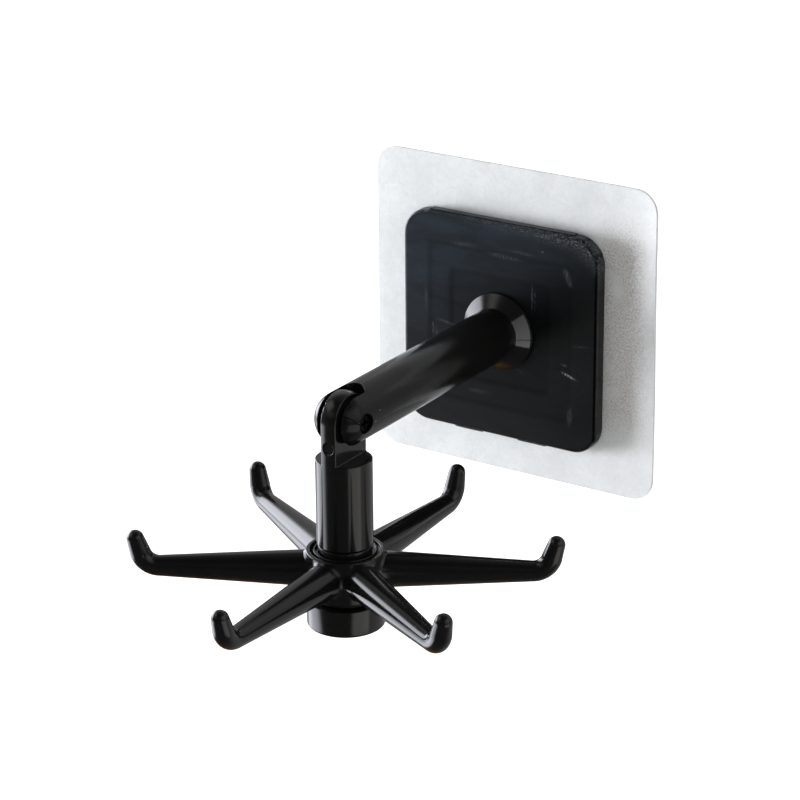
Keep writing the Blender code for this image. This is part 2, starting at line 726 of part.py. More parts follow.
def build_end_cap(pivot, materials):
    """Make the cap: a socket for the journal above a web, and the screw's recess below."""
    cap_radius = CAP_DIAMETER / 2
    socket_radius = JOURNAL_DIAMETER / 2 + SEAT_GAP
    hole_radius = CAP_SCREW_DIAMETER / 2 + SEAT_GAP
    recess_radius = CAP_SCREW_HEAD_DIAMETER / 2 + SEAT_GAP
    profile = [
        (hole_radius, -CAP_WEB_TOP_DROP),
        (socket_radius, -CAP_WEB_TOP_DROP),
        (socket_radius, -CAP_TOP_DROP),
        (cap_radius - HUB_EDGE_CHAMFER, -CAP_TOP_DROP),
        (cap_radius, -CAP_TOP_DROP - HUB_EDGE_CHAMFER),
    ]
    for step in range(EDGE_STEPS + 1):
        angle = step / EDGE_STEPS * math.pi / 2
        radius = cap_radius - CAP_EDGE_RADIUS * (1 - math.cos(angle))
        profile.append((radius, -CAP_BOTTOM_DROP + CAP_EDGE_RADIUS * (1 - math.sin(angle))))
    profile += [
        (recess_radius, -CAP_BOTTOM_DROP),
        (recess_radius, -CAP_WEB_BOTTOM_DROP),
        (hole_radius, -CAP_WEB_BOTTOM_DROP),
    ]
    add_object("end_cap", turned(profile, ROUND_SIDES), pivot, materials["gloss_black"])


def build_cap_screw(pivot, materials):
    """Make the screw that holds the end cap to the journal, with its head down."""
    shank_radius = CAP_SCREW_DIAMETER / 2
    head_radius = CAP_SCREW_HEAD_DIAMETER / 2
    head_top = CAP_SCREW_SEAT_DROP + CAP_SCREW_HEAD_HEIGHT
    crown = CAP_SCREW_HEAD_HEIGHT / 3
    profile = [
        (0.0, CAP_SCREW_SEAT_DROP - CAP_SCREW_LENGTH),
        (shank_radius, CAP_SCREW_SEAT_DROP - CAP_SCREW_LENGTH + shank_radius),
        (shank_radius, CAP_SCREW_SEAT_DROP),
        (head_radius, CAP_SCREW_SEAT_DROP),
        (head_radius, head_top - crown),
        (head_radius - crown, head_top),
        (0.0, head_top),
    ]
    upside_down = (math.pi, 0.0, 0.0)
    screw = add_object(
        "cap_screw", turned(profile, SMALL_ROUND_SIDES), pivot, materials["steel"], rotation=upside_down,
    )
    cut_cross(screw, CAP_SCREW_HEAD_DIAMETER, CAP_SCREW_HEAD_HEIGHT, head_top, pivot, upside_down)


def build_materials():
    """Return the finishes: moulded black plastics, film, adhesive, tape, nylon and steel."""
    return {
        "gloss_black": make_material("gloss_black_abs", (0.010, 0.011, 0.012), 0.18),
        "plate": make_material("satin_black_abs", (0.020, 0.022, 0.025), 0.42),
        "film": make_material("frosted_film", (0.80, 0.82, 0.84), 0.45, alpha=0.85),
        "adhesive": make_material("clear_adhesive", (0.78, 0.79, 0.80), 0.35, alpha=0.6),
        "tape": make_material("white_foam_tape", (0.70, 0.70, 0.68), 0.80),
        "nylon": make_material("black_nylon", (0.015, 0.015, 0.015), 0.55),
        "steel": make_material("zinc_plated_steel", (0.42, 0.40, 0.38), 0.35, metallic=1.0),
    }


def build():
    """Build the whole utensil hook."""
    clear_scene()
    materials = build_materials()
    out_of_wall = (math.pi / 2, 0.0, 0.0)
    sheet_frame = add_empty("sheet_frame", (0.0, 0.0, 0.0), rotation=out_of_wall)
    plate_place = (PLATE_CENTRE_X, 0.0, PLATE_CENTRE_Z)
    arm_frame = add_empty("arm_frame", plate_place, rotation=out_of_wall)
    post_pivot = add_empty("post_pivot", (PLATE_CENTRE_X, -PIN_REACH, PLATE_CENTRE_Z))
    rotor_axis = add_empty("rotor_axis", (0.0, 0.0, -HUB_TOP_DROP), post_pivot)

    build_sheets(sheet_frame, materials)
    build_base_plate(arm_frame, materials)
    build_back_plate(arm_frame, materials)
    build_arm_screw(arm_frame, materials)
    build_support_arm(arm_frame, materials)
    build_hinge(arm_frame, materials)
    build_post(post_pivot, materials)
    build_rotor(rotor_axis, materials)
    build_thrust_washer(post_pivot, materials)
    build_end_cap(post_pivot, materials)
    build_cap_screw(post_pivot, materials)


build()
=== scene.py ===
"""Dress of the wall utensil hook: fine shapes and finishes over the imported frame.

Every length is in metres, in the frame's own axes: the wall is the plane y = 0, the
object stands out from it towards -Y, and +Z is up. Shapes that turn about the arm are
made on the arm's own axes, where Z runs out of the wall, and are then set in place.
"""
import logging
import math
from collections.abc import Callable, Iterable, Sequence
from dataclasses import dataclass
from enum import Enum
from functools import partial
from typing import Any

import bmesh
import bpy
from bmesh.types import BMesh, BMVert
from bpy.types import ID, Curve, Light, Material, Mesh, Node, NodeSocket, Object
from mathutils import Matrix, Vector


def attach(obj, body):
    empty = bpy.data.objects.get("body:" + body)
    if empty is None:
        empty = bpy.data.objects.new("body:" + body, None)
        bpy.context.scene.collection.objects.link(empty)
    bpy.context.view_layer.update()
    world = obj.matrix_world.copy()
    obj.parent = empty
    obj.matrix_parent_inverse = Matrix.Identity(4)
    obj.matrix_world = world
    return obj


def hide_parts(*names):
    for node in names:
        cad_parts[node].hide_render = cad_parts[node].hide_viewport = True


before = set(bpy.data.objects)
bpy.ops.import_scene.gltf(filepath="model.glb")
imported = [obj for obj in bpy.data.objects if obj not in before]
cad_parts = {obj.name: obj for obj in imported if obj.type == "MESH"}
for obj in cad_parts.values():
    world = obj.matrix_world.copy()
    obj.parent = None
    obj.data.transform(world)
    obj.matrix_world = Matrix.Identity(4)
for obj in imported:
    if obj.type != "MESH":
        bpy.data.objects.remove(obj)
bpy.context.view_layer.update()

LOG = logging.getLogger("utensil_hook")

MM = 0.001
MERGE_DISTANCE = 0.000001
SMOOTH_ANGLE = math.radians(32.0)

# What is rounded and merged on a cut moulding, and which of its faces are round or flat
CREASE_ANGLE = math.radians(38.0)
ROUNDED_SMOOTH_ANGLE = math.radians(50.0)
SLIVER = 0.02 * MM
ROUND_TOLERANCE = 0.01 * MM
ROUND_AGREEMENT = 0.97
FLAT_FACE_AREA = 4.0 * MM * MM

# Where the hinge pin is, and how the arm's own axes lie in the frame
PLATE_CENTRE = (-2.2 * MM, -1.9 * MM)
PLATE_MIDDLE = (PLATE_CENTRE[0], 0.0, PLATE_CENTRE[1])
PIN_REACH = 73.0 * MM
PIN = Vector((PLATE_CENTRE[0], -PIN_REACH, PLATE_CENTRE[1]))
SHEET_AXES = Matrix.Rotation(math.pi / 2, 4, "X")
ARM_AXES = Matrix.Translation(PLATE_MIDDLE) @ SHEET_AXES
POST_AXES = Matrix.Translation(PIN)
PIN_AXES = POST_AXES @ Matrix.Rotation(math.pi / 2, 4, "Y")
UPSIDE_DOWN = Matrix.Rotation(math.pi, 4, "X")

# Heights above the wall that neighbouring pieces share
LAYER_GAP = 0.1 * MM
SEAT_GAP = 0.25 * MM
FILM_BACK = 0.35 * MM
FILM_FRONT = 0.85 * MM
PLATE_BACK = 0.95 * MM
PLATE_FRONT = 4.05 * MM
CAVITY_FLOOR = 2.25 * MM
ARM_SEAT = 4.30 * MM

# Sizes that the arm and the post share
ROD_RADIUS = 6.7 * MM
TONGUE_HALF = 2.05 * MM
SLOT_HALF = 3.3 * MM
JOURNAL_RADIUS = 5.2 * MM
OVERRUN = 2.0 * MM
ENDLESS = 1e6

# How many flats a large round, a rod and a small round have
LARGE_SIDES = 128
ROD_SIDES = 96
SMALL_SIDES = 48

# Depths below the pin
HUB_TOP = 32.7 * MM
WASHER_TOP = 43.65 * MM
CAP_TOP = 45.0 * MM
CAP_BOTTOM = 51.7 * MM

# Settings that many nodes share
SMOOTH = {"interpolation_type": "SMOOTHSTEP"}
COLOURS = {"data_type": "RGBA"}
ABOUT_A_PLACE = {"vector_type": "TEXTURE"}

Corner = tuple[float, float, float]
Point2 = tuple[float, float]
AddNode = Callable[..., Node]
Feeds = dict[str | int, Any]


class Body(Enum):
    """The frame's moving bodies."""

    BASE = "base"
    POST = "post"
    ROTOR = "rotor"


class Slot(Enum):
    """Names of material slots, which no piece in this script is given."""

    ADHESIVE = "adhesive"
    FILM = "film"
    PLATE = "plate"
    STEEL = "steel"
    BLACK = "gloss_black"
    NYLON = "nylon"


# Shapes

def arc_steps(start: float, end: float, count: int) -> list[float]:
    """Return evenly spaced values from start to end, both included."""
    return [start + (end - start) * step / count for step in range(count + 1)]


def rounded_profile(corners: Sequence[Corner], steps: int = 5) -> list[Point2]:
    """Round the corners of an open profile.

    Args:
        corners: (radius from the axis, height, rounding radius) of each corner.
        steps: how many chords each rounding has.

    Returns:
        The profile's points, in the same order.
    """
    points: list[Point2] = []
    for number, (across, height, rounding) in enumerate(corners):
        here = Vector((across, height))
        if rounding <= 0.0 or number in (0, len(corners) - 1):
            points.append((across, height))
            continue
        before, after = [(Vector(corners[number + step][:2]) - here).normalized() for step in (-1, 1)]
        half = before.angle(after) / 2
        reach = rounding / math.tan(half)
        centre = here + (before + after).normalized() * (rounding / math.sin(half))
        first, last = [(here + way * reach - centre).normalized() for way in (before, after)]
        points += [tuple(centre + first.slerp(last, share) * rounding) for share in arc_steps(0.0, 1.0, steps)]
    return points


def dome_profile(radius: float, centre: float, steps: int = 24) -> list[Point2]:
    """Draw a profile over a round end.

    Args:
        radius: the dome's radius.
        centre: height of its centre.
        steps: how many chords it has.

    Returns:
        The points, from the side to the axis.
    """
    angles = arc_steps(0.0, math.pi / 2, steps)[:-1]
    points = [(radius * math.cos(angle), centre + radius * math.sin(angle)) for angle in angles]
    return points + [(0.0, centre + radius)]


def rounded_rectangle(width: float, height: float, radius: float, centre: Point2 = (0.0, 0.0),
                      steps: int = 10) -> list[Point2]:
    """Draw a rectangle with round corners.

    Args:
        width: whole width.
        height: whole height.
        radius: corner radius.
        centre: middle of the rectangle.
        steps: how many chords each corner has.

    Returns:
        The outline's points, counter-clockwise.
    """
    outline: list[Point2] = []
    for quarter, (sign_x, sign_y) in enumerate(((1, 1), (-1, 1), (-1, -1), (1, -1))):
        for angle in arc_steps(quarter * math.pi / 2, (quarter + 1) * math.pi / 2, steps):
            outline.append((
                centre[0] + sign_x * (width / 2 - radius) + radius * math.cos(angle),
                centre[1] + sign_y * (height / 2 - radius) + radius * math.sin(angle),
            ))
    return outline


def at_height(outline: Iterable[Point2], height: float) -> list[Vector]:
    """Return a flat outline as points at one height."""
    return [Vector((x, y, height)) for x, y in outline]


def square(side: float, radius: float, height: float) -> list[Vector]:
    """Return a square with round corners as points at one height."""
    return at_height(rounded_rectangle(side, side, radius), height)


def as_mesh(name: str, shell: BMesh) -> Mesh:
    """Turn a shell into a mesh.

    Args:
        name: the mesh's name.
        shell: the shell, which is freed.

    Returns:
        The mesh.
    """
    mesh = bpy.data.meshes.new(name)
    shell.to_mesh(mesh)
    shell.free()
    return mesh


def smoothed(mesh: Mesh, angle: float = SMOOTH_ANGLE) -> Mesh:
    """Shade a mesh smooth.

    Args:
        mesh: the mesh.
        angle: an edge that bends by more than this stays sharp.

    Returns:
        The mesh.
    """
    mesh.shade_smooth()
    mesh.set_sharp_from_angle(angle=angle)
    return mesh


def close_up(shell: BMesh, rings: Sequence[Sequence[BMVert]]) -> None:
    """Lay faces between each ring and the next.

    Args:
        shell: the shell that holds the rings.
        rings: rings of equal point counts, where a repeated point is a pole.
    """
    for lower, upper in zip(rings, rings[1:]):
        for here in range(len(lower)):
            after = (here + 1) % len(lower)
            corners = (lower[here], lower[after], upper[after], upper[here])
            shell.faces.new(list(dict.fromkeys(corners)))


def loft(sections: Iterable[Sequence[Vector]], looped: bool = False, triangles: bool = False) -> BMesh:
    """Join closed sections of equal point counts into one closed shell.

    Args:
        sections: the sections, in order.
        looped: joins the last section to the first, in place of two end faces.
        triangles: splits every face, for a Boolean's tool.

    Returns:
        The shell.
    """
    shell = bmesh.new()
    rings = [[shell.verts.new(point) for point in section] for section in sections]
    close_up(shell, rings + rings[:1] if looped else rings)
    if not looped:
        shell.faces.new(reversed(rings[0]))
        shell.faces.new(rings[-1])
    if triangles:
        bmesh.ops.triangulate(shell, faces=shell.faces)
    bmesh.ops.recalc_face_normals(shell, faces=shell.faces)
    return shell


def turned(profile: Sequence[Point2], sides: int = ROD_SIDES) -> BMesh:
    """Spin a profile about Z.

    Args:
        profile: (radius, height) points. Where both ends are on the axis the shape is a
            solid, and otherwise the profile closes into a ring.
        sides: how many flats the round has.

    Returns:
        The closed shell.
    """
    shell = bmesh.new()
    angles = [math.tau * side / sides for side in range(sides)]
    rings: list[list[BMVert]] = []
    for radius, height in profile:
        if radius < MERGE_DISTANCE:
            rings.append([shell.verts.new((0.0, 0.0, height))] * sides)
        else:
            round_line = [(radius * math.cos(angle), radius * math.sin(angle), height) for angle in angles]
            rings.append([shell.verts.new(point) for point in round_line])
    close_up(shell, rings + rings[:1] if profile[0][0] > MERGE_DISTANCE else rings)
    bmesh.ops.recalc_face_normals(shell, faces=shell.faces)
    return shell


def joined(first: BMesh, *others: BMesh) -> BMesh:
    """Put several shells into one.

    Args:
        first: the shell that takes the others.
        others: the shells that it takes, which are freed.

    Returns:
        The first shell.
    """
    for other in others:
        mesh = as_mesh("joined", other)
        first.from_mesh(mesh)
        bpy.data.meshes.remove(mesh)
    return first


def add_object(name: str, data: ID) -> Object:
    """Put a new object into the scene, at the origin.

    Args:
        name: the object's name.
        data: its mesh, curve, lamp or camera.

    Returns:
        The object.
    """
    piece = bpy.data.objects.new(name, data)
    bpy.context.scene.collection.objects.link(piece)
    return piece


def shell_object(name: str, shell: BMesh, place: Matrix = Matrix()) -> Object:
    """Return a shell as a smooth-shaded object whose place is in its mesh."""
    shell.transform(place)
    return add_object(name, smoothed(as_mesh(name, shell)))


def evaluated(piece: Object) -> Mesh:
    """Return what a piece's modifiers make of it, as plain mesh."""
    graph = bpy.context.evaluated_depsgraph_get()
    return bpy.data.meshes.new_from_object(piece.evaluated_get(graph))


def settle(piece: Object) -> None:
    """Turn a piece's modifiers into plain mesh.

    Args:
        piece: the piece, which is left without modifiers.
    """
    mesh = evaluated(piece)
    piece.modifiers.clear()
    piece.data = mesh


def cut(target: Object, shell: BMesh, place: Matrix) -> None:
    """Take a tool's shape out of a target, at once.

    Args:
        target: the piece that is cut.
        shell: the tool, which is used up.
        place: where the tool goes.
    """
    tool = shell_object(target.name + "_tool", shell, place)
    modifier = target.modifiers.new("cut", "BOOLEAN")
    modifier.operation = "DIFFERENCE"
    modifier.solver = "EXACT"
    modifier.object = tool
    settle(target)
    bpy.data.objects.remove(tool)


def round_edges(target: Object, width: float) -> None:
    """Round a target's sharp edges, as a moulding's are, and keep its flats flat.

    Args:
        target: the piece.
        width: how wide the rounding is.
    """
    bevel = target.modifiers.new("moulded_edges", "BEVEL")
    bevel.width = width
    bevel.segments = 3
    bevel.limit_method = "ANGLE"
    bevel.angle_limit = CREASE_ANGLE
    bevel.use_clamp_overlap = False
    bevel.loop_slide = False
    settle(target)
    shell = bmesh.new()
    shell.from_mesh(target.data)
    bmesh.ops.remove_doubles(shell, verts=shell.verts, dist=SLIVER)
    bmesh.ops.dissolve_degenerate(shell, edges=shell.edges, dist=SLIVER / 2)
    target.data = smoothed(as_mesh(target.name, shell), ROUNDED_SMOOTH_ANGLE)
    target.modifiers.new("flat_faces", "WEIGHTED_NORMAL").keep_sharp = True
    settle(target)


def true_rounds(piece: Object, place: Matrix, dome_height: float) -> None:
    """Shade a rod with a domed end as truly round, however its cuts have split its faces.

    Args:
        piece: the rod, of ROD_RADIUS.
        place: its own axes, where Z runs to the dome.
        dome_height: height of the dome's centre.
    """
    mesh, inward, outward = piece.data, place.inverted(), place.to_3x3()
    normals = [corner.vector.copy() for corner in mesh.corner_normals]
    for face in mesh.polygons:
        for corner in face.loop_indices:
            point = inward @ mesh.vertices[mesh.loops[corner].vertex_index].co
            out = Vector((point.x, point.y, max(point.z - dome_height, 0.0)))
            direction = (outward @ out).normalized()
            on_round = abs(out.length - ROD_RADIUS) < ROUND_TOLERANCE
            if on_round and direction.dot(face.normal) > ROUND_AGREEMENT:
                normals[corner] = direction
            elif face.area > FLAT_FACE_AREA:
                normals[corner] = face.normal.copy()
    mesh.normals_split_custom_set(normals)


def along(axes: Matrix, height: float) -> Matrix:
    """Return axes moved along their own Z."""
    return axes @ Matrix.Translation((0.0, 0.0, height))


def dressed(piece: Object, material: Material) -> Object:
    """Give a piece one material.

    Args:
        piece: the piece, or one of the frame's solids.
        material: its finish.

    Returns:
        The piece.
    """
    piece.data.materials.clear()
    piece.data.materials.append(material)
    return piece


def finished(piece: Object, material: Material, body: Body, node: str) -> Object:
    """Dress a piece, hang it on its body and let it stand for its solid.

    Args:
        piece: the piece, with its place in its mesh.
        material: its finish.
        body: the moving body that it rides on.
        node: the frame's solid that it replaces.

    Returns:
        The piece.
    """
    dressed(piece, material)
    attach(piece, body.value)
    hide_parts(node)
    return piece


# Nodes

def linear(hex_colour: str) -> tuple[float, float, float, float]:
    """Turn an sRGB hex colour into the linear colour that the shaders take."""
    values = [int(hex_colour[place:place + 2], 16) / 255 for place in (1, 3, 5)]
    return (*(v / 12.92 if v <= 0.04045 else ((v + 0.055) / 1.055) ** 2.4 for v in values), 1.0)


def add_node(tree: bpy.types.NodeTree, kind: str, feeds: Feeds | Sequence[Any] = (),
             **settings: Any) -> Node:
    """Add a node to a tree, set it and feed it.

    Args:
        tree: the tree that takes the node.
        kind: the node's type, which for a shader node goes without ShaderNode.
        feeds: for each input, by name or number or in the node's own order, a value, the
            socket to link, or the node whose first output is linked.
        settings: values for the node's own properties.

    Returns:
        The new node.
    """
    node = tree.nodes.new(kind if "Node" in kind else "ShaderNode" + kind)
    for name, value in settings.items():
        setattr(node, name, value)
    for key, value in feeds.items() if isinstance(feeds, dict) else enumerate(feeds):
        source = value.outputs[0] if isinstance(value, Node) else value
        if isinstance(source, NodeSocket):
            tree.links.new(source, node.inputs[key])
        else:
            node.inputs[key].default_value = source
    return node


def fresh_tree(owner: ID) -> AddNode:
    """Empty the node tree of a material, lamp or world.

    Args:
        owner: what the tree belongs to.

    Returns:
        What adds a node to that tree, as add_node does.
    """
    owner.use_nodes = True
    owner.node_tree.nodes.clear()
    return partial(add_node, owner.node_tree)


def band(add: AddNode, value: Any, centre: float | Node, *fade: float) -> Node:
    """Fade by how far a value is from a centre, on both sides of it.

    Args:
        add: adds a node to the tree.
        value: the value.
        centre: what it is measured from.
        fade: how far off the fade starts and ends, and what it gives at its start and
            its end, if not 0 and 1.

    Returns:
        A node that gives the fade.
    """
    away = add("Math", (value, centre), operation="SUBTRACT")
    return add("MapRange", (add("Math", (away,), operation="ABSOLUTE"), *fade), **SMOOTH)


def stretched(size: Point2) -> Corner:
    """Return the scale of a pattern whose grain has this width and height on the wall."""
    return (1 / size[0], 1.0, 1 / size[1])


def reach_in_spot(add: AddNode, place: NodeSocket, middle: Corner, size: Corner, lean: float = 0.0) -> NodeSocket:
    """Return how far out in an oval spot a place is, where 1 is its rim."""
    spot = {"Vector": place, "Location": middle, "Rotation": (0.0, -lean, 0.0), "Scale": size}
    return add("VectorMath", (add("Mapping", spot, **ABOUT_A_PLACE),), operation="LENGTH").outputs["Value"]


def reach_on_plate(add: AddNode, place: NodeSocket, rounding: float) -> Node:
    """Measure how far out a place is on squares about the plate's centre.

    Args:
        add: adds a node to the tree.
        place: Object coordinates.
        rounding: how round the corners of the squares are.

    Returns:
        A node that gives half the side of the square through the place.
    """
    centred = add("Mapping", {"Vector": place, "Location": PLATE_MIDDLE}, **ABOUT_A_PLACE)
    sides = add("SeparateXYZ", (add("VectorMath", (centred,), operation="ABSOLUTE"),)).outputs
    return add("Math", (sides["X"], sides["Z"], rounding), operation="SMOOTH_MAX")


class GeometryRecipe:
    """A Geometry Nodes tree with named inputs, which makes one repeated or rule-led shape."""

    def __init__(self, name: str, sizes: dict[str, float | int]) -> None:
        """Start the tree.

        Args:
            name: the tree's name.
            sizes: its named inputs and their usual values. A whole number makes a count.
        """
        self.tree = bpy.data.node_groups.new(name, "GeometryNodeTree")
        self.add = partial(add_node, self.tree)
        face = self.tree.interface
        for way in ("INPUT", "OUTPUT"):
            face.new_socket("Geometry", in_out=way, socket_type="NodeSocketGeometry")
        for size, value in sizes.items():
            kind = "NodeSocketInt" if isinstance(value, int) else "NodeSocketFloat"
            face.new_socket(size, in_out="INPUT", socket_type=kind).default_value = value
        face.new_socket("Finish", in_out="INPUT", socket_type="NodeSocketMaterial")
        self.inputs = self.add("NodeGroupInput").outputs

    def close(self, geometry: Node) -> None:
        """End the tree in real mesh with its finish on it.

        Args:
            geometry: the node whose first output is the shape.
        """
        real = self.add("GeometryNodeRealizeInstances", (geometry,))
        finish = {"Geometry": real, "Material": self.inputs["Finish"]}
        self.add("NodeGroupOutput", (self.add("GeometryNodeSetMaterial", finish),))

    def make(self, name: str, sizes: dict[str, float], finish: Material, seed: ID | None = None,
             place: Matrix = Matrix()) -> Object:
        """Run the tree once.

        Args:
            name: the new object's name.
            sizes: the inputs that differ from the usual values.
            finish: the material that the tree sets.
            seed: the curve or mesh that the tree starts from.
            place: where the result goes.

        Returns:
            A plain mesh object at the origin.
        """
        source = add_object(name + "_recipe", seed or bpy.data.meshes.new(name + "_start"))
        modifier = source.modifiers.new("recipe", "NODES")
        modifier.node_group = self.tree
        values = {**sizes, "Finish": finish}
        for item in self.tree.interface.items_tree:
            if item.in_out == "INPUT" and item.name in values:
                modifier[item.identifier] = values[item.name]
        mesh = evaluated(source)
        bpy.data.objects.remove(source)
        mesh.transform(place)
        return add_object(name, smoothed(mesh))


# Finishes

class Finish:
    """A material: what it is made of and how its surface was made."""

    name: str

    def feeds(self, add: AddNode, place: NodeSocket) -> Feeds:
        """Return what feeds each input of the Principled shader."""
        raise NotImplementedError

    def mixed(self) -> Material:
        """Make the material.

        Returns:
            The material, whose patterns all follow Object coordinates.
        """
        material = bpy.data.materials.new(self.name)
        add = fresh_tree(material)
        shader = add("BsdfPrincipled", self.feeds(add, add("TexCoord").outputs["Object"]))
        add("OutputMaterial", {"Surface": shader})
        return material


@dataclass(frozen=True)
class MouldedAbs(Finish):
    """Injection-moulded black ABS.

    The polished tool gives a hard gloss that mirrors the lamps as bright streaks. Slow
    sinking over the thick parts bends those streaks a little.
    """

    name: str = "gloss_black_moulded_abs"
    colour: str = "#0d0d0e"
    pale_colour: str = "#131211"
    dust_colour: str = "#8d8a84"
    roughness: float = 0.13
    roughness_spread: float = 0.05
    ior: float = 1.52
    shine: float = 0.5
    tone_size: float = 9.0 * MM
    smear_size: float = 2.5 * MM
    ripple_size: float = 5.0 * MM
    ripple_height: float = 0.008 * MM
    dust_spacing: float = 4.0 * MM

    def feeds(self, add: AddNode, place: NodeSocket) -> Feeds:
        """Build the gloss and its dust.

        Args:
            add: adds a node to the material's tree.
            place: Object coordinates.

        Returns:
            What feeds each input of the Principled shader.
        """
        slow = add("TexNoise", {"Vector": place, "Scale": 1 / self.tone_size, "Detail": 2.0})
        colour = add("Mix", {0: slow, 6: linear(self.colour), 7: linear(self.pale_colour)}, **COLOURS)
        smears = add("TexNoise", {"Vector": place, "Scale": 1 / self.smear_size, "Detail": 3.0, "Distortion": 0.6})
        rough = add("MapRange", (smears, 0.35, 0.75, self.roughness, self.roughness + self.roughness_spread))
        ripple = add("TexNoise", {"Vector": place, "Scale": 1 / self.ripple_size, "Detail": 1.0})
        # Specks of dust, a tenth of a millimetre across
        cells = add("TexVoronoi", {"Vector": place, "Scale": 1 / self.dust_spacing}).outputs
        speck = add("Math", (cells["Distance"], 0.035), operation="LESS_THAN")
        rare = add("Math", (add("SeparateColor", (cells["Color"],)), 0.14), operation="LESS_THAN")
        dusty = add("Math", (speck, rare), operation="MULTIPLY")
        dusted = add("Mix", {0: dusty, 6: colour.outputs[2], 7: linear(self.dust_colour)}, **COLOURS)
        return {
            "Base Color": dusted.outputs[2], "Roughness": rough, "IOR": self.ior, "Specular IOR Level": self.shine,
            "Normal": add("Bump", {"Distance": self.ripple_height, "Height": ripple}),
        }


@dataclass(frozen=True)
class WeldedAbs(MouldedAbs):
    """The arm's gloss black ABS, with a weld line and a trace of brown grease.

    Two fronts of plastic met on the near ear and left a thin matt line. Grease has
    collected under the conical foot. The screw's recess is painted dark as shade, and one
    side of the cone is painted pale as a highlight.
    """

    name: str = "gloss_black_welded_abs"
    roughness: float = 0.155
    line_points: tuple[Point2, ...] = (
        (-78.4, 1.20), (-77.8, 0.75), (-77.2, 0.35), (-76.6, -0.15), (-76.2, -0.85), (-75.5, -1.35),
        (-74.6, -1.62), (-73.0, -1.75),
    )
    line_reach_mm: float = 3.0
    line_fade: Point2 = (0.192 * MM, 0.06 * MM)
    # Colour of the weld line, and of the painted shade in the screw's recess
    weld_and_shade_colour: str = "#030303"
    ear_start: float = PLATE_CENTRE[0] + 2.31 * MM
    # Radius of the screw's recess, which is painted in shade
    recess: float = 2.42 * MM
    shine: float = 0.26
    foot_shine: float = 0.5
    foot_edge: Point2 = (-7.6 * MM, -6.6 * MM)
    # The painted highlight on one side of the cone: its arc and strength, its height, its colour and the darker
    # line across it
    highlight_arc: Point2 = (math.radians(-16.0), math.radians(40.0))
    highlight_strength: Point2 = (0.58, 0.30)
    cone_middle: float = -5.85 * MM
    highlight_colour: str = "#8b8c8e"
    highlight_break_bearing: float = math.radians(-2.0)
    grease_place: Corner = (-0.6 * MM, -4.8 * MM, -10.0 * MM)
    grease_size: Corner = (3.6 * MM, 2.6 * MM, 0.9 * MM)
    grease_grain: float = 0.7 * MM
    grease_colour: str = "#2a1d0a"

    def weld(self, add: AddNode, parts: Any) -> Node:
        """Draw the weld line on the near ear.

        Args:
            add: adds a node to the material's tree.
            parts: the sockets X, Y and Z of the place.

        Returns:
            A node that gives 1 on the line and 0 off it.
        """
        low, high = self.line_points[0][0], self.line_points[-1][0]
        reach = self.line_reach_mm
        line = add("FloatCurve", {"Value": add("MapRange", (parts["Y"], low * MM, high * MM))})
        spots = [((y - low) / (high - low), (z + reach) / (2 * reach)) for y, z in self.line_points]
        curve = line.mapping.curves[0]
        curve.points[0].location, curve.points[1].location = spots[0], spots[-1]
        for spot in spots[1:-1]:
            curve.points.new(*spot)
        line.mapping.update()
        height = add("MapRange", (line, 0.0, 1.0, -reach * MM, reach * MM))
        thin = band(add, parts["Z"], height, *self.line_fade)
        middle, half = (low + high) / 2 * MM, (high - low) / 2 * MM
        in_reach = add("Math", (parts["Y"], middle, half), operation="COMPARE")
        near_ear = add("Math", (parts["X"], self.ear_start), operation="GREATER_THAN")
        there = add("Math", (in_reach, near_ear), operation="MULTIPLY")
        return add("Math", (there, thin), operation="MULTIPLY")

    def painted_cone_highlight(self, add: AddNode, place: NodeSocket) -> Node:
        """Paint a highlight on one side of the foot's cone, with a darker line across it.

        Args:
            add: adds a node to the material's tree.
            place: Object coordinates.

        Returns:
            A node that gives how strong the painted highlight is, as a share.
        """
        about = add("Mapping", {"Vector": place, "Location": PLATE_MIDDLE}, **ABOUT_A_PLACE)
        sides = add("SeparateXYZ", (about,)).outputs
        bearing = add("Math", (sides["Z"], sides["X"]), operation="ARCTAN2")
        start, end = self.highlight_arc
        half = (end - start) / 2
        # Of each band: its value and middle, how far off it starts and is whole, and its ends
        bands = (
            (bearing, (start + end) / 2, half + 0.02, half - 0.06),
            (sides["Y"], self.cone_middle, 1.10 * MM, 0.95 * MM),
            (bearing, self.highlight_break_bearing, 0.03, 0.01, 1.0, 0.45),
        )
        # The painted highlight is strongest at the start of its arc and fades towards its end
        share = add("MapRange", (bearing, start, end, *self.highlight_strength))
        for fade in bands:
            share = add("Math", (share, band(add, *fade)), operation="MULTIPLY")
        return share

    def grease(self, add: AddNode, place: NodeSocket) -> Node:
        """Smear grease under the foot.

        Args:
            add: adds a node to the material's tree.
            place: Object coordinates.

        Returns:
            A node that gives 1 in the grease and 0 beside it.
        """
        away = reach_in_spot(add, place, self.grease_place, self.grease_size)
        smear = add("TexNoise", {"Vector": place, "Scale": 1 / self.grease_grain, "Detail": 3.0})
        edge = add("Math", (smear, 0.9, away), operation="MULTIPLY_ADD")
        return add("MapRange", (edge, 1.5, 1.0), **SMOOTH)

    def feeds(self, add: AddNode, place: NodeSocket) -> Feeds:
        """Build the gloss with the arm's own marks on it.

        Args:
            add: adds a node to the material's tree.
            place: Object coordinates.

        Returns:
            What feeds each input of the Principled shader.
        """
        feeds = super().feeds(add, place)
        parts = add("SeparateXYZ", (place,)).outputs
        # The recess of the screw is moulded dull, and painted dark as the deep shade that lies in it
        out = reach_in_spot(add, place, tuple(PIN), (ENDLESS, self.recess, self.recess))
        sunken_shade = add("MapRange", (out, 1.03, 0.98), **SMOOTH)
        weld_and_recess_shade = add("Math", (self.weld(add, parts), sunken_shade), operation="MAXIMUM")
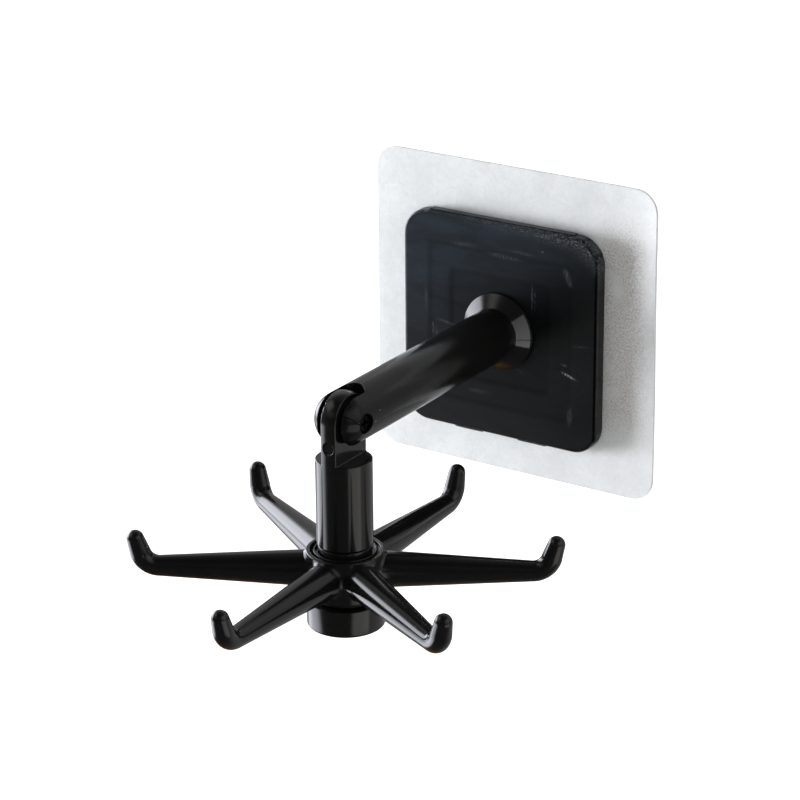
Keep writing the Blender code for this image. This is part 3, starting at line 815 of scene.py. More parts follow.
        # The rod is a little duller than its foot, which nobody touches
        polish = add("MapRange", (parts["Y"], *self.foot_edge, self.shine, self.foot_shine))
        feeds["Specular IOR Level"] = add("MapRange", (weld_and_recess_shade, 0.0, 1.0, polish, 0.0))
        # Marks on the colour: the dark weld line with the painted shade of the recess, the painted highlight on the
        # cone, and grease
        marks = (
            (weld_and_recess_shade, self.weld_and_shade_colour), (self.painted_cone_highlight(add, place), self.highlight_colour),
            (self.grease(add, place), self.grease_colour),
        )
        for share, colour in marks:
            mix = add("Mix", {0: share, 6: feeds["Base Color"], 7: linear(colour)}, **COLOURS)
            feeds["Base Color"] = mix.outputs[2]
        return feeds


@dataclass(frozen=True)
class Scuff:
    """A pale rub mark on the plate: where it is, how long and wide, and how it lies.

    Places and sizes are in millimetres on the wall plane, and the lean is in degrees
    from level.
    """

    across: float
    up: float
    half_length: float
    half_width: float
    lean: float
    strength: float


PLATE_SCUFFS = (
    Scuff(7.2, 8.6, 4.6, 0.22, 90.0, 0.55), Scuff(8.0, 8.0, 3.8, 0.16, 90.0, 0.35),
    Scuff(-21.6, -4.7, 2.2, 0.30, 90.0, 0.40), Scuff(-20.5, -5.2, 1.9, 0.35, 90.0, 0.28),
    Scuff(-17.5, -2.4, 4.5, 0.45, -8.0, 0.22), Scuff(17.8, -9.8, 2.9, 0.50, -18.0, 1.00),
    Scuff(16.4, -7.2, 1.1, 0.35, -10.0, 0.55), Scuff(21.2, -1.6, 3.2, 0.30, 8.0, 0.30),
    Scuff(16.9, 16.7, 1.6, 0.80, -60.0, 0.30), Scuff(10.1, 20.9, 0.35, 0.25, 0.0, 0.80),
    Scuff(-1.7, 24.6, 0.30, 0.22, 0.0, 0.80), Scuff(-23.6, 25.9, 0.90, 0.45, 12.0, 0.90),
    Scuff(3.6, -11.2, 2.6, 0.22, -25.0, 0.28), Scuff(-1.0, 17.8, 6.5, 0.80, -2.0, 0.20),
    Scuff(4.5, 19.6, 5.0, 0.50, -2.0, 0.16), Scuff(-13.0, 19.0, 4.5, 0.60, 2.0, 0.14),
    Scuff(18.2, -20.5, 3.4, 1.10, 90.0, 0.16), Scuff(17.3, 15.4, 3.0, 1.20, -64.0, 0.22),
    Scuff(-23.5, 3.0, 4.5, 0.90, 90.0, 0.12), Scuff(-8.0, -19.0, 5.0, 0.70, 4.0, 0.12),
)


@dataclass(frozen=True)
class RubbedAbs(Finish):
    """Satin black ABS plate.

    A finely blasted tool leaves a low sheen, with a bluish painted sheen over the upper
    left. Shrinkage over the ribs behind it sinks nested squares, painted in shade, and
    handling shows as short grey scuffs and a pale, speckled upper edge.
    """

    name: str = "satin_black_moulded_abs"
    colour: str = "#0e0f10"
    # The bluish colour of the painted sheen at the upper left
    pale_colour: str = "#1c242c"
    rub_colour: str = "#6b6f74"
    roughness: float = 0.31
    roughness_spread: float = 0.04
    ior: float = 1.52
    shine: float = 0.36
    grain_size: float = 0.35 * MM
    grain_height: float = 0.003 * MM
    squares: tuple[float, ...] = (20.3 * MM, 14.0 * MM)
    square_rounding: float = 3.0 * MM
    square_fade: Point2 = (0.9 * MM, -0.5 * MM)
    square_line: Point2 = (1.3 * MM, 0.1 * MM)
    # How much painted shade darkens each sunken square and the line round it
    square_shade: float = 0.12
    edge_line: float = 27.3 * MM
    edge_line_fade: Point2 = (0.45 * MM, 0.15 * MM)
    edge_line_across: Point2 = (15.8 * MM, 21.8 * MM)
    edge_line_loss: float = 0.75
    stroke_size: Point2 = (0.30 * MM, 1.3 * MM)
    fleck_size: float = 0.50 * MM
    wipe_size: Point2 = (22.0 * MM, 7.0 * MM)

    def sink_shade_and_edge_line(self, add: AddNode, place: NodeSocket) -> Node:
        """Paint shade over the nested sink marks, and draw a thin dark line at the right edge.

        Args:
            add: adds a node to the material's tree.
            place: Object coordinates.

        Returns:
            A node that gives how much of the colour and the sheen they leave, as a share.
        """
        reach = reach_on_plate(add, place, self.square_rounding)
        unshaded_share: Node | float = 1.0
        # Painted shade: each sunken square, and the line round it, darken the colour and the sheen
        for half in self.squares:
            sunken_shade = (reach, *(half + step for step in self.square_fade), 0.0, self.square_shade)
            line = band(add, reach, half, *self.square_line, 0.0, self.square_shade)
            for loss in (add("MapRange", sunken_shade, **SMOOTH), line):
                unshaded_share = add("Math", (unshaded_share, loss), operation="SUBTRACT")
        # On the right a thin dark line is drawn where the face meets its rounded edge
        right = add("MapRange", (add("SeparateXYZ", (place,)), *self.edge_line_across), **SMOOTH)
        edge_line = band(add, reach, self.edge_line, *self.edge_line_fade, 0.0, self.edge_line_loss)
        loss = add("Math", (edge_line, right), operation="MULTIPLY")
        return add("Math", (unshaded_share, loss), operation="SUBTRACT", use_clamp=True)

    def scuffs(self, add: AddNode, place: NodeSocket) -> Node:
        """Draw the single scuffs, broken into strokes.

        Args:
            add: adds a node to the material's tree.
            place: Object coordinates.

        Returns:
            A node that gives how strongly they show, as a share.
        """
        drawn = add("Mapping", {"Vector": place, "Scale": stretched(self.stroke_size)})
        strokes = add("TexNoise", {"Vector": drawn, "Scale": 1.0, "Detail": 3.0, "Roughness": 0.6})
        total: Node | float = 0.0
        for scuff in PLATE_SCUFFS:
            middle = (scuff.across * MM, 0.0, scuff.up * MM)
            size = (scuff.half_length * MM, 1.0, scuff.half_width * MM)
            away = reach_in_spot(add, place, middle, size, math.radians(scuff.lean))
            mark = add("MapRange", (away, 1.0, 0.3, 0.0, scuff.strength), **SMOOTH)
            total = add("Math", (total, mark), operation="MAXIMUM")
        return add("Math", (total, add("MapRange", (strokes, 0.38, 0.62), **SMOOTH)), operation="MULTIPLY")

    def wear(self, add: AddNode, place: NodeSocket, parts: Any) -> Node:
        """Wear the upper edge and its right corner, but hardly the pad above them.

        Args:
            add: adds a node to the material's tree.
            place: Object coordinates.
            parts: the sockets X, Y and Z of the place.

        Returns:
            A node that gives how worn the plate is, as a share.
        """
        # Of each edge: the share of X that tilts it, and where the wear starts and is whole
        worn: Node | float = 0.0
        for share, low, high in ((0.09, 23.4 * MM, 27.2 * MM), (0.85, 36.5 * MM, 45.0 * MM)):
            lean = add("Math", (parts["X"], share, parts["Z"]), operation="MULTIPLY_ADD")
            worn = add("Math", (worn, add("MapRange", (lean, low, high), **SMOOTH)), operation="MAXIMUM")
        flecks = add("TexNoise", {"Vector": place, "Scale": 1 / self.fleck_size, "Detail": 4.0, "Roughness": 0.75})
        for share in (
            add("MapRange", (parts["Z"], 26.1 * MM, 26.3 * MM, 1.0, 0.25)),
            add("MapRange", (flecks, 0.47, 0.68), **SMOOTH),
        ):
            worn = add("Math", (worn, share), operation="MULTIPLY")
        return worn

    def feeds(self, add: AddNode, place: NodeSocket) -> Feeds:
        """Build the satin face with its painted sheen, the painted shade of its squares and its rubs.

        Args:
            add: adds a node to the material's tree.
            place: Object coordinates.

        Returns:
            What feeds each input of the Principled shader.
        """
        # Painted sheen: the colour turns pale and bluish towards the upper left, where the light falls, in streaks
        # that run to and fro
        wiped = add("Mapping", {"Vector": place, "Scale": stretched(self.wipe_size)})
        slow = add("TexNoise", {"Vector": wiped, "Scale": 1.0, "Detail": 5.0, "Roughness": 0.6, "Distortion": 0.4})
        parts = add("SeparateXYZ", (place,)).outputs
        lean = add("Math", (parts["X"], -0.6, parts["Z"]), operation="MULTIPLY_ADD")
        side = add("MapRange", (lean, -6.0 * MM, 34.0 * MM), **SMOOTH)
        streaks = add("MapRange", (slow, 0.35, 0.65, 0.45, 1.25))
        painted_sheen = add("Math", (side, streaks), operation="MULTIPLY", use_clamp=True)
        colour = add("Mix", {0: painted_sheen, 6: linear(self.colour), 7: linear(self.pale_colour)}, **COLOURS)
        # The painted shade of the squares and the dark edge line scale down the colour and the sheen
        unshaded_share = self.sink_shade_and_edge_line(add, place)
        toned = add("VectorMath", {0: colour.outputs[2], "Scale": unshaded_share}, operation="SCALE")
        rubs = add("Math", (self.scuffs(add, place), self.wear(add, place, parts)), operation="MAXIMUM")
        shown = add("Mix", {0: rubs, 6: toned, 7: linear(self.rub_colour)}, **COLOURS)
        sheen = add("MapRange", (slow, 0.35, 0.65, self.shine * 0.75, self.shine * 1.2))
        spread = self.roughness_spread
        smooth = add("MapRange", (slow, 0.3, 0.7, self.roughness + spread, self.roughness - spread))
        grain = add("TexNoise", {"Vector": place, "Scale": 1 / self.grain_size, "Detail": 2.0})
        return {
            "Base Color": shown.outputs[2], "IOR": self.ior,
            "Roughness": add("Math", (rubs, 0.25, smooth), operation="MULTIPLY_ADD"),
            "Specular IOR Level": add("Math", (sheen, unshaded_share), operation="MULTIPLY"),
            "Normal": add("Bump", {"Distance": self.grain_height, "Height": grain}),
        }


@dataclass(frozen=True)
class FrostedFilm(Finish):
    """Frosted vinyl film.

    The embossed face scatters light, so it reads as soft white that light comes through.
    Its short fibrous mottle is the adhesive showing from behind.
    """

    name: str = "frosted_vinyl_film"
    colour: str = "#e6e9eb"
    mottle_colour: str = "#d9dcde"
    # Colour of the dirt and the painted shadow on the right of the plate
    dirt_and_shadow_colour: str = "#a89f96"
    roughness: float = 0.55
    transmission: float = 0.15
    ior: float = 1.46
    fibre_length: float = 1.6 * MM
    fibre_height: float = 0.02 * MM
    cloud_size: float = 11.0 * MM
    grit_size: float = 0.45 * MM

    def feeds(self, add: AddNode, place: NodeSocket) -> Feeds:
        """Build the mottle, and the dirt and painted shadow on the right of the plate.

        Args:
            add: adds a node to the material's tree.
            place: Object coordinates.

        Returns:
            What feeds each input of the Principled shader.
        """
        fibres = add("TexNoise", {
            "Vector": place, "Scale": 1 / self.fibre_length, "Detail": 5.0, "Roughness": 0.65, "Distortion": 1.2,
        })
        clouds = add("TexNoise", {"Vector": place, "Scale": 1 / self.cloud_size, "Detail": 2.0})
        share = add("MapRange", (add("Math", (fibres, clouds), operation="MULTIPLY"), 0.14, 0.34))
        colour = add("Mix", {0: share, 6: linear(self.mottle_colour), 7: linear(self.colour)}, **COLOURS)
        # Warm grey dirt with painted shadow, speckled by the film's grain, on the right of the plate where its
        # shadow falls
        parts = add("SeparateXYZ", (place,)).outputs
        grit = add("TexNoise", {"Vector": place, "Scale": 1 / self.grit_size, "Detail": 5.0, "Roughness": 0.8})
        dirt_and_shadow: Node | float = 1.0
        for value, none, full in (
            (parts["X"], 22.0 * MM, 27.0 * MM), (parts["X"], 41.0 * MM, 32.0 * MM),
            (parts["Z"], -30.0 * MM, -16.0 * MM), (parts["Z"], 37.0 * MM, 21.0 * MM),
            (grit, 0.38, 0.66), (clouds, 0.22, 0.46),
        ):
            share = add("MapRange", (value, none, full), **SMOOTH)
            dirt_and_shadow = add("Math", (dirt_and_shadow, share), operation="MULTIPLY")
        colour = add("Mix", {0: dirt_and_shadow, 6: colour.outputs[2], 7: linear(self.dirt_and_shadow_colour)}, **COLOURS)
        return {
            "Base Color": colour.outputs[2], "Roughness": self.roughness, "IOR": self.ior,
            "Transmission Weight": self.transmission,
            "Normal": add("Bump", {"Distance": self.fibre_height, "Height": fibres}),
        }


@dataclass(frozen=True)
class SpeckledFinish(Finish):
    """A plain two-tone material with a fine grain: metal plate, nylon or foam."""

    name: str
    colour: str
    other_colour: str
    roughness: float
    grain_size: float
    grain_height: float
    metallic: float = 0.0
    ior: float = 1.5
    shine: float = 0.5

    def feeds(self, add: AddNode, place: NodeSocket) -> Feeds:
        """Build the grain.

        Args:
            add: adds a node to the material's tree.
            place: Object coordinates.

        Returns:
            What feeds each input of the Principled shader.
        """
        grain = add("TexNoise", {"Vector": place, "Scale": 1 / self.grain_size, "Detail": 3.0})
        colour = add("Mix", {0: grain, 6: linear(self.colour), 7: linear(self.other_colour)}, **COLOURS)
        return {
            "Base Color": colour.outputs[2], "Metallic": self.metallic, "IOR": self.ior,
            "Roughness": add("MapRange", (grain, 0.3, 0.7, self.roughness, self.roughness + 0.1)),
            "Specular IOR Level": self.shine,
            "Normal": add("Bump", {"Distance": self.grain_height, "Height": grain}),
        }


@dataclass(frozen=True)
class ClearAdhesive(Finish):
    """Clear acrylic adhesive, cast on the film's back.

    It looks like pale, slightly rough glue. The dark plate in front of the film is painted
    through it as a soft grey square of shade, and air bubbles show as small pale rings.
    """

    name: str = "clear_acrylic_adhesive"
    colour: str = "#dfe2e4"
    shade_colour: str = "#a9acae"
    bubble_colour: str = "#f0f2f3"
    half_shade: float = 28.0 * MM
    shade_rounding: float = 6.0 * MM
    shade_blur: float = 1.2 * MM
    roughness: float = 0.32
    ior: float = 1.47
    bubble_spacing: float = 5.0 * MM
    ripple_size: float = 3.0 * MM
    ripple_height: float = 0.03 * MM

    def feeds(self, add: AddNode, place: NodeSocket) -> Feeds:
        """Build the plate's painted shade, the bubbles and the glue's slow ripple.

        Args:
            add: adds a node to the material's tree.
            place: Object coordinates.

        Returns:
            What feeds each input of the Principled shader.
        """
        # Painted shade: a soft grey square where the plate in front of the film keeps light from coming through
        edge = (self.half_shade + self.shade_blur, self.half_shade - self.shade_blur)
        shade = add("MapRange", (reach_on_plate(add, place, self.shade_rounding), *edge), **SMOOTH)
        toned = add("Mix", {0: shade, 6: linear(self.colour), 7: linear(self.shade_colour)}, **COLOURS)
        cells = add("TexVoronoi", {"Vector": place, "Scale": 1 / self.bubble_spacing})
        rim = add("Math", (cells.outputs["Distance"], 0.10, 0.018), operation="COMPARE")
        bubbled = add("Math", (rim, 0.25), operation="MULTIPLY")
        colour = add("Mix", {0: bubbled, 6: toned.outputs[2], 7: linear(self.bubble_colour)}, **COLOURS)
        ripple = add("TexNoise", {"Vector": place, "Scale": 1 / self.ripple_size, "Detail": 3.0})
        return {
            "Base Color": colour.outputs[2], "IOR": self.ior,
            "Roughness": add("MapRange", (ripple, 0.3, 0.7, self.roughness, self.roughness + 0.15)),
            "Normal": add("Bump", {"Distance": self.ripple_height, "Height": ripple}),
        }


class FinishShelf:
    """Every material of the object, each made once."""

    def __init__(self) -> None:
        """Mix the materials."""
        self.black = MouldedAbs().mixed()
        self.welded_black = WeldedAbs().mixed()
        self.satin = RubbedAbs().mixed()
        self.film = FrostedFilm().mixed()
        self.adhesive = ClearAdhesive().mixed()
        # Closed-cell foam shows fine pores at its cut edge
        self.tape = SpeckledFinish("white_foam_tape", "#dedcd6", "#c8c5bd", 0.8, 0.3 * MM, 0.05 * MM).mixed()
        # Turned nylon dyed black is dull beside the gloss of the mouldings
        self.nylon = SpeckledFinish("black_nylon", "#101010", "#191918", 0.5, 0.4 * MM, 0.005 * MM).mixed()
        # Bright zinc plate is a cool grey metal with a faint crystal mottle
        self.steel = SpeckledFinish(
            "zinc_plated_steel", "#b4b2ac", "#96948f", 0.26, 0.5 * MM, 0.002 * MM, metallic=1.0,
        ).mixed()
        # Black oxide leaves the hinge's screw and nut a dull, slightly brown charcoal, painted
        # near black as well for the shade in the screw's recess
        self.dark_steel_and_shade = SpeckledFinish(
            "black_oxide_steel_and_shade", "#030303", "#080707", 0.6, 0.4 * MM, 0.004 * MM, metallic=0.4, shine=0.15,
        ).mixed()


# Assemblies

@dataclass
class WallSheet:
    """The frosted film and the adhesive on its back, which lift a little at one edge."""

    side: float = 80.0 * MM
    corner_radius: float = 5.8 * MM
    least_radius: float = 1.0 * MM
    softening: float = 0.08 * MM
    insets_mm: tuple[float, ...] = (26.0, 18.0, 13.0, 11.0, 9.0, 7.5, 6.0, 4.5, 3.0, 1.5)
    curl_height: float = 0.8 * MM
    corner_share: float = 0.5
    curl_start: float = 27.0 * MM
    curl_low: float = -25.0 * MM
    curl_high: float = 25.0 * MM

    def lift(self, point: Vector) -> float:
        """Work out how far the sheet stands off the wall.

        Args:
            point: a point of its own plane.

        Returns:
            The height.
        """
        across = min(max((point.x - self.curl_start) / (self.side / 2 - self.curl_start), 0.0), 1.0)
        up = min(max((point.y - self.curl_low) / (self.curl_high - self.curl_low), 0.0), 1.0)
        return self.curl_height * across * across * up * up * (3 - 2 * up)

    def section(self, inset: float, height: float, parts: int = 16) -> list[Vector]:
        """Draw a rounded square with its straight sides split, so that they can curl.

        Args:
            inset: how far it lies within the sheet's edge.
            height: its height where the sheet doesn't curl.
            parts: how many parts a side has.

        Returns:
            The section's points.
        """
        radius = max(self.corner_radius - inset * self.corner_share, self.least_radius)
        width = self.side - 2 * inset
        outline = rounded_rectangle(width, width, radius)
        points: list[Vector] = []
        for here, after in zip(outline, outline[1:] + outline[:1]):
            count = parts if math.dist(here, after) > radius else 1
            for share in arc_steps(0.0, 1.0, count)[:-1]:
                point = Vector((*(start + (end - start) * share for start, end in zip(here, after)), height))
                point.z += self.lift(point)
                points.append(point)
        return points

    def layer(self, name: str, back: float, front: float) -> Object:
        """Make one layer of the sheet.

        Args:
            name: the piece's name.
            back: height of its back face above the wall.
            front: height of its front face above the wall.

        Returns:
            The piece.
        """
        insets = [inset * MM for inset in self.insets_mm] + [self.softening]
        levels = [(inset, back) for inset in insets]
        levels += [(0.0, back + self.softening), (0.0, front - self.softening)]
        levels += [(inset, front) for inset in reversed(insets)]
        return shell_object(name, loft(self.section(*level) for level in levels), SHEET_AXES)

    def build(self, shelf: FinishShelf) -> list[Object]:
        """Make and dress the two layers.

        Args:
            shelf: the materials.

        Returns:
            The adhesive and the film.
        """
        adhesive = self.layer("wall_adhesive", 0.0, FILM_BACK - LAYER_GAP)
        film = self.layer("frosted_sheet", FILM_BACK, FILM_FRONT)
        return [
            finished(adhesive, shelf.adhesive, Body.BASE, "adhesive_layer"),
            finished(film, shelf.film, Body.BASE, "carrier_film"),
        ]


@dataclass
class BasePlate:
    """The plate, a shallow tray with pads on its edges, and what closes it behind."""

    side: float = 56.0 * MM
    corner_radius: float = 7.0 * MM
    edge_radius: float = 0.8 * MM
    rim_wall: float = 1.9 * MM
    # The nested squares where the face has shrunk: half side, drop
    sink_marks: tuple[Point2, ...] = ((20.3 * MM, 0.03 * MM), (14.0 * MM, 0.05 * MM))
    sink_ramp: float = 0.9 * MM
    sink_support: float = 0.4 * MM
    sink_corner_share: float = 0.16
    boss_side: float = 8.0 * MM
    boss_corner: float = 0.8 * MM
    boss_height: float = 1.8 * MM
    hole_radius: float = 2.0 * MM
    top_pad: float = 41.5 * MM
    low_pad: float = 8.3 * MM
    low_pad_spacing: float = 18.4 * MM
    pad_rise: float = 0.4 * MM
    pad_setback: float = 0.4 * MM
    pad_softening: float = 0.12 * MM
    pad_corner: float = 0.3 * MM

    def face_rings(self) -> list[Point2]:
        """Work out the rings across the face, with its sink marks.

        Returns:
            (half side, height) of each ring, from the edge inwards.
        """
        rings = [(self.side / 2 - self.edge_radius - self.sink_support, PLATE_FRONT)]
        level = PLATE_FRONT
        for half, drop in self.sink_marks:
            outer, inner = half + self.sink_ramp, half - self.sink_ramp
            rings += [(outer + self.sink_support, level), (outer, level), (half, level - drop / 2)]
            level -= drop
            rings += [(inner, level), (inner - self.sink_support, level)]
        return rings

    def tray(self) -> BMesh:
        """Make the plate itself: hollow back, round front edge, boss and screw hole.

        Returns:
            The shell.
        """
        cavity, inner = self.side - 2 * self.rim_wall, self.corner_radius - self.rim_wall
        sections = [square(cavity, inner, height) for height in (CAVITY_FLOOR, PLATE_BACK)]
        sections.append(square(self.side, self.corner_radius, PLATE_BACK))
        for angle in arc_steps(0.0, math.pi / 2, 7):
            inset = self.edge_radius * (1 - math.cos(angle))
            height = PLATE_FRONT - self.edge_radius * (1 - math.sin(angle))
            sections.append(square(self.side - 2 * inset, self.corner_radius - inset, height))
        for half, height in self.face_rings():
            sections.append(square(2 * half, half * self.sink_corner_share, height))
        boss_top = PLATE_FRONT + self.boss_height
        for height in (sections[-1][0].z, boss_top):
            sections.append(square(self.boss_side, self.boss_corner, height))
        bearings = [math.atan2(point.y, point.x) for point in sections[-1]]
        hole = [(self.hole_radius * math.cos(way), self.hole_radius * math.sin(way)) for way in bearings]
        sections += [at_height(hole, height) for height in (boss_top, CAVITY_FLOOR)]
        return loft(sections, looped=True)

    def pad(self, length: float, centre: float, side: int) -> BMesh:
        """Make one low pad.

        Args:
            length: its length along the edge.
            centre: its middle along the edge.
            side: 1 for the upper edge and -1 for the lower.

        Returns:
            A bar that stands out of the edge, with its root inside the plate.
        """
        depth = self.rim_wall / 2 + self.pad_rise
        middle = (centre, side * (self.side / 2 + self.pad_rise - depth / 2))
        soft, low, high = self.pad_softening, PLATE_BACK + self.pad_setback, PLATE_FRONT - self.edge_radius
        return loft(
            at_height(rounded_rectangle(length - 2 * inset, depth - 2 * inset, self.pad_corner, middle), height)
            for inset, height in ((soft, low), (0.0, low + soft), (0.0, high - soft), (soft, high))
        )

    def build(self, shelf: FinishShelf) -> list[Object]:
        """Make and dress the plate, and dress the solids behind it.

        Args:
            shelf: the materials.

        Returns:
            The plate, the back plate and the tape.
        """
        low_pads = [self.pad(self.low_pad, way * self.low_pad_spacing / 2, -1) for way in (-1, 1)]
        shell = joined(self.tray(), self.pad(self.top_pad, 0.0, 1), *low_pads)
        plate = shell_object("square_plate", shell, ARM_AXES)
        return [
            finished(plate, shelf.satin, Body.BASE, "base_plate"),
            dressed(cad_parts["back_plate"], shelf.satin),
            dressed(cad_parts["mounting_tape"], shelf.tape),
        ]


@dataclass
class SupportArm:
    """The arm: conical foot, round rod and a forked dome about the hinge pin."""

    foot_radius: float = 9.9 * MM
    foot_rim: float = 0.3 * MM
    foot_height: float = 2.4 * MM
    slot_straight: float = 2.8 * MM
    edge_width: float = 0.22 * MM
    hole_radius: float = 1.45 * MM
    recess_radius: float = 2.4 * MM
    recess_floor: float = 4.25 * MM
    nut_width: float = 5.0 * MM
    nut_floor: float = 4.45 * MM
    # Rings across the rod keep its long faces evenly shaded beside the cuts
    rings_mm: tuple[float, ...] = (60.0, 45.0, 30.0, 20.0, 12.0, 9.4, 3.2)

    def slot_tool(self, steps: int = 28) -> BMesh:
        """Make the tool of the fork's slot.

        Args:
            steps: how many chords its rounds have.

        Returns:
            A tool that is open to the front and below, with its end round from above.
        """
        sections = []
        far, low = PIN_REACH + ROD_RADIUS + OVERRUN, -ROD_RADIUS - OVERRUN
        for turn in arc_steps(-math.pi / 2, math.pi / 2, steps):
            across = SLOT_HALF * math.sin(turn)
            depth = self.slot_straight + SLOT_HALF * abs(math.cos(turn))
            reach = math.hypot(depth, math.sqrt(ROD_RADIUS ** 2 - across ** 2))
            angles = arc_steps(0.0, math.pi / 2, steps)
            end = [(reach * math.sin(angle), PIN_REACH - reach * math.cos(angle)) for angle in angles]
            outline = [(low, far), (low, PIN_REACH - reach), *end, (reach, far)]
            sections.append([Vector((across, up, out)) for up, out in outline])
        return loft(sections, triangles=True)

    def pin_tools(self) -> list[BMesh]:
        """Make the tools of the stepped hole of the screw and the pocket of the nut.

        Returns:
            The two tools, about the pin.
        """
        past = ROD_RADIUS + OVERRUN
        hole = turned([
            (0.0, -past), (self.hole_radius, -past), (self.hole_radius, self.recess_floor),
            (self.recess_radius, self.recess_floor), (self.recess_radius, past), (0.0, past),
        ], SMALL_SIDES)
        corner = self.nut_width / 2 / math.cos(math.pi / 6)
        bearings = [math.tau * side / 6 for side in range(6)]
        outline = [(corner * math.cos(way), corner * math.sin(way)) for way in bearings]
        return [hole, loft([at_height(outline, -past), at_height(outline, -self.nut_floor)])]

    def build(self, shelf: FinishShelf) -> list[Object]:
        """Make and dress the arm.

        Args:
            shelf: the materials.

        Returns:
            The arm.
        """
        profile = rounded_profile([
            (0.0, ARM_SEAT, 0.0),
            (self.foot_radius, ARM_SEAT, 0.1 * MM),
            (self.foot_radius, ARM_SEAT + self.foot_rim, 0.1 * MM),
            (ROD_RADIUS, ARM_SEAT + self.foot_height, 0.2 * MM),
            *((ROD_RADIUS, PIN_REACH - back * MM, 0.0) for back in self.rings_mm),
        ]) + dome_profile(ROD_RADIUS, PIN_REACH)
        arm = shell_object("forked_arm", turned(profile), ARM_AXES)
        cut(arm, self.slot_tool(), ARM_AXES)
        round_edges(arm, self.edge_width)
        for tool in self.pin_tools():
            cut(arm, tool, PIN_AXES)
        true_rounds(arm, ARM_AXES, PIN_REACH)
        return [finished(arm, shelf.welded_black, Body.BASE, "support_arm")]


@dataclass
class SwivelPost:
    """The post: a flat tongue with a round top, a round body and the rotor's journal."""

    shoulder: float = 9.7 * MM
    shoulder_corner: float = 0.1 * MM
    end: float = 31.1 * MM
    journal_end: float = 47.75 * MM
    rounding: float = 0.3 * MM
    edge_width: float = 0.25 * MM
    bore_radius: float = 1.5 * MM
    mark_radius: float = 1.4 * MM
    mark_flare: float = 0.35 * MM
    mark_depth: float = 0.4 * MM
    mark_drop: float = 5.4 * MM
    mark_shift: float = 0.1 * MM
    # Rings across the rod keep its long faces evenly shaded beside the cuts
    rings_mm: tuple[float, ...] = (28.0, 20.0, 12.0, 10.3, 9.1, 7.2, 3.6, 2.0)

    def blank(self) -> BMesh:
        """Make the round post, before anything is cut from it.

        Returns:
            The shell.
        """
        return turned(rounded_profile([
            (0.0, -self.journal_end, 0.0),
            (JOURNAL_RADIUS, -self.journal_end, self.rounding),
            (JOURNAL_RADIUS, -self.end, 0.0),
            (ROD_RADIUS, -self.end, self.rounding),
            *((ROD_RADIUS, -down * MM, 0.0) for down in self.rings_mm),
        ]) + dome_profile(ROD_RADIUS, 0.0))

    def gate_mark(self) -> BMesh:
        """Make the tool of the gate mark, whose rim is flared.

        Returns:
            The tool, from inside the post outwards along Z.
        """
        floor, far, rim = ROD_RADIUS - self.mark_depth, ROD_RADIUS + OVERRUN, self.mark_radius + self.mark_flare
        return turned([
            (0.0, floor), (self.mark_radius, floor), (self.mark_radius, ROD_RADIUS - self.mark_flare),
            (rim, ROD_RADIUS), (rim, far), (0.0, far),
        ], SMALL_SIDES)

    def build(self, shelf: FinishShelf) -> list[Object]:
        """Make and dress the post.

        Args:
            shelf: the materials.

        Returns:
            The post.
        """
        post = shell_object("folding_post", self.blank(), POST_AXES)
        past = ROD_RADIUS + OVERRUN
        depth = past - TONGUE_HALF
        for side in (1, -1):
            middle = (side * (TONGUE_HALF + depth / 2), 0.0)
            outline = rounded_rectangle(depth, 2 * past, self.shoulder_corner, middle, 1)
            cut(post, loft([at_height(outline, -self.shoulder), at_height(outline, past)]), POST_AXES)
        round_edges(post, self.edge_width)
        past = TONGUE_HALF + OVERRUN
        bore = turned([(0.0, -past), (self.bore_radius, -past), (self.bore_radius, past), (0.0, past)], SMALL_SIDES)
        cut(post, bore, PIN_AXES)
        mark_place = Matrix.Translation((self.mark_shift, 0.0, -self.mark_drop))
        cut(post, self.gate_mark(), POST_AXES @ mark_place @ SHEET_AXES)
        true_rounds(post, POST_AXES, 0.0)
        return [finished(post, shelf.black, Body.POST, "swivel_post")]


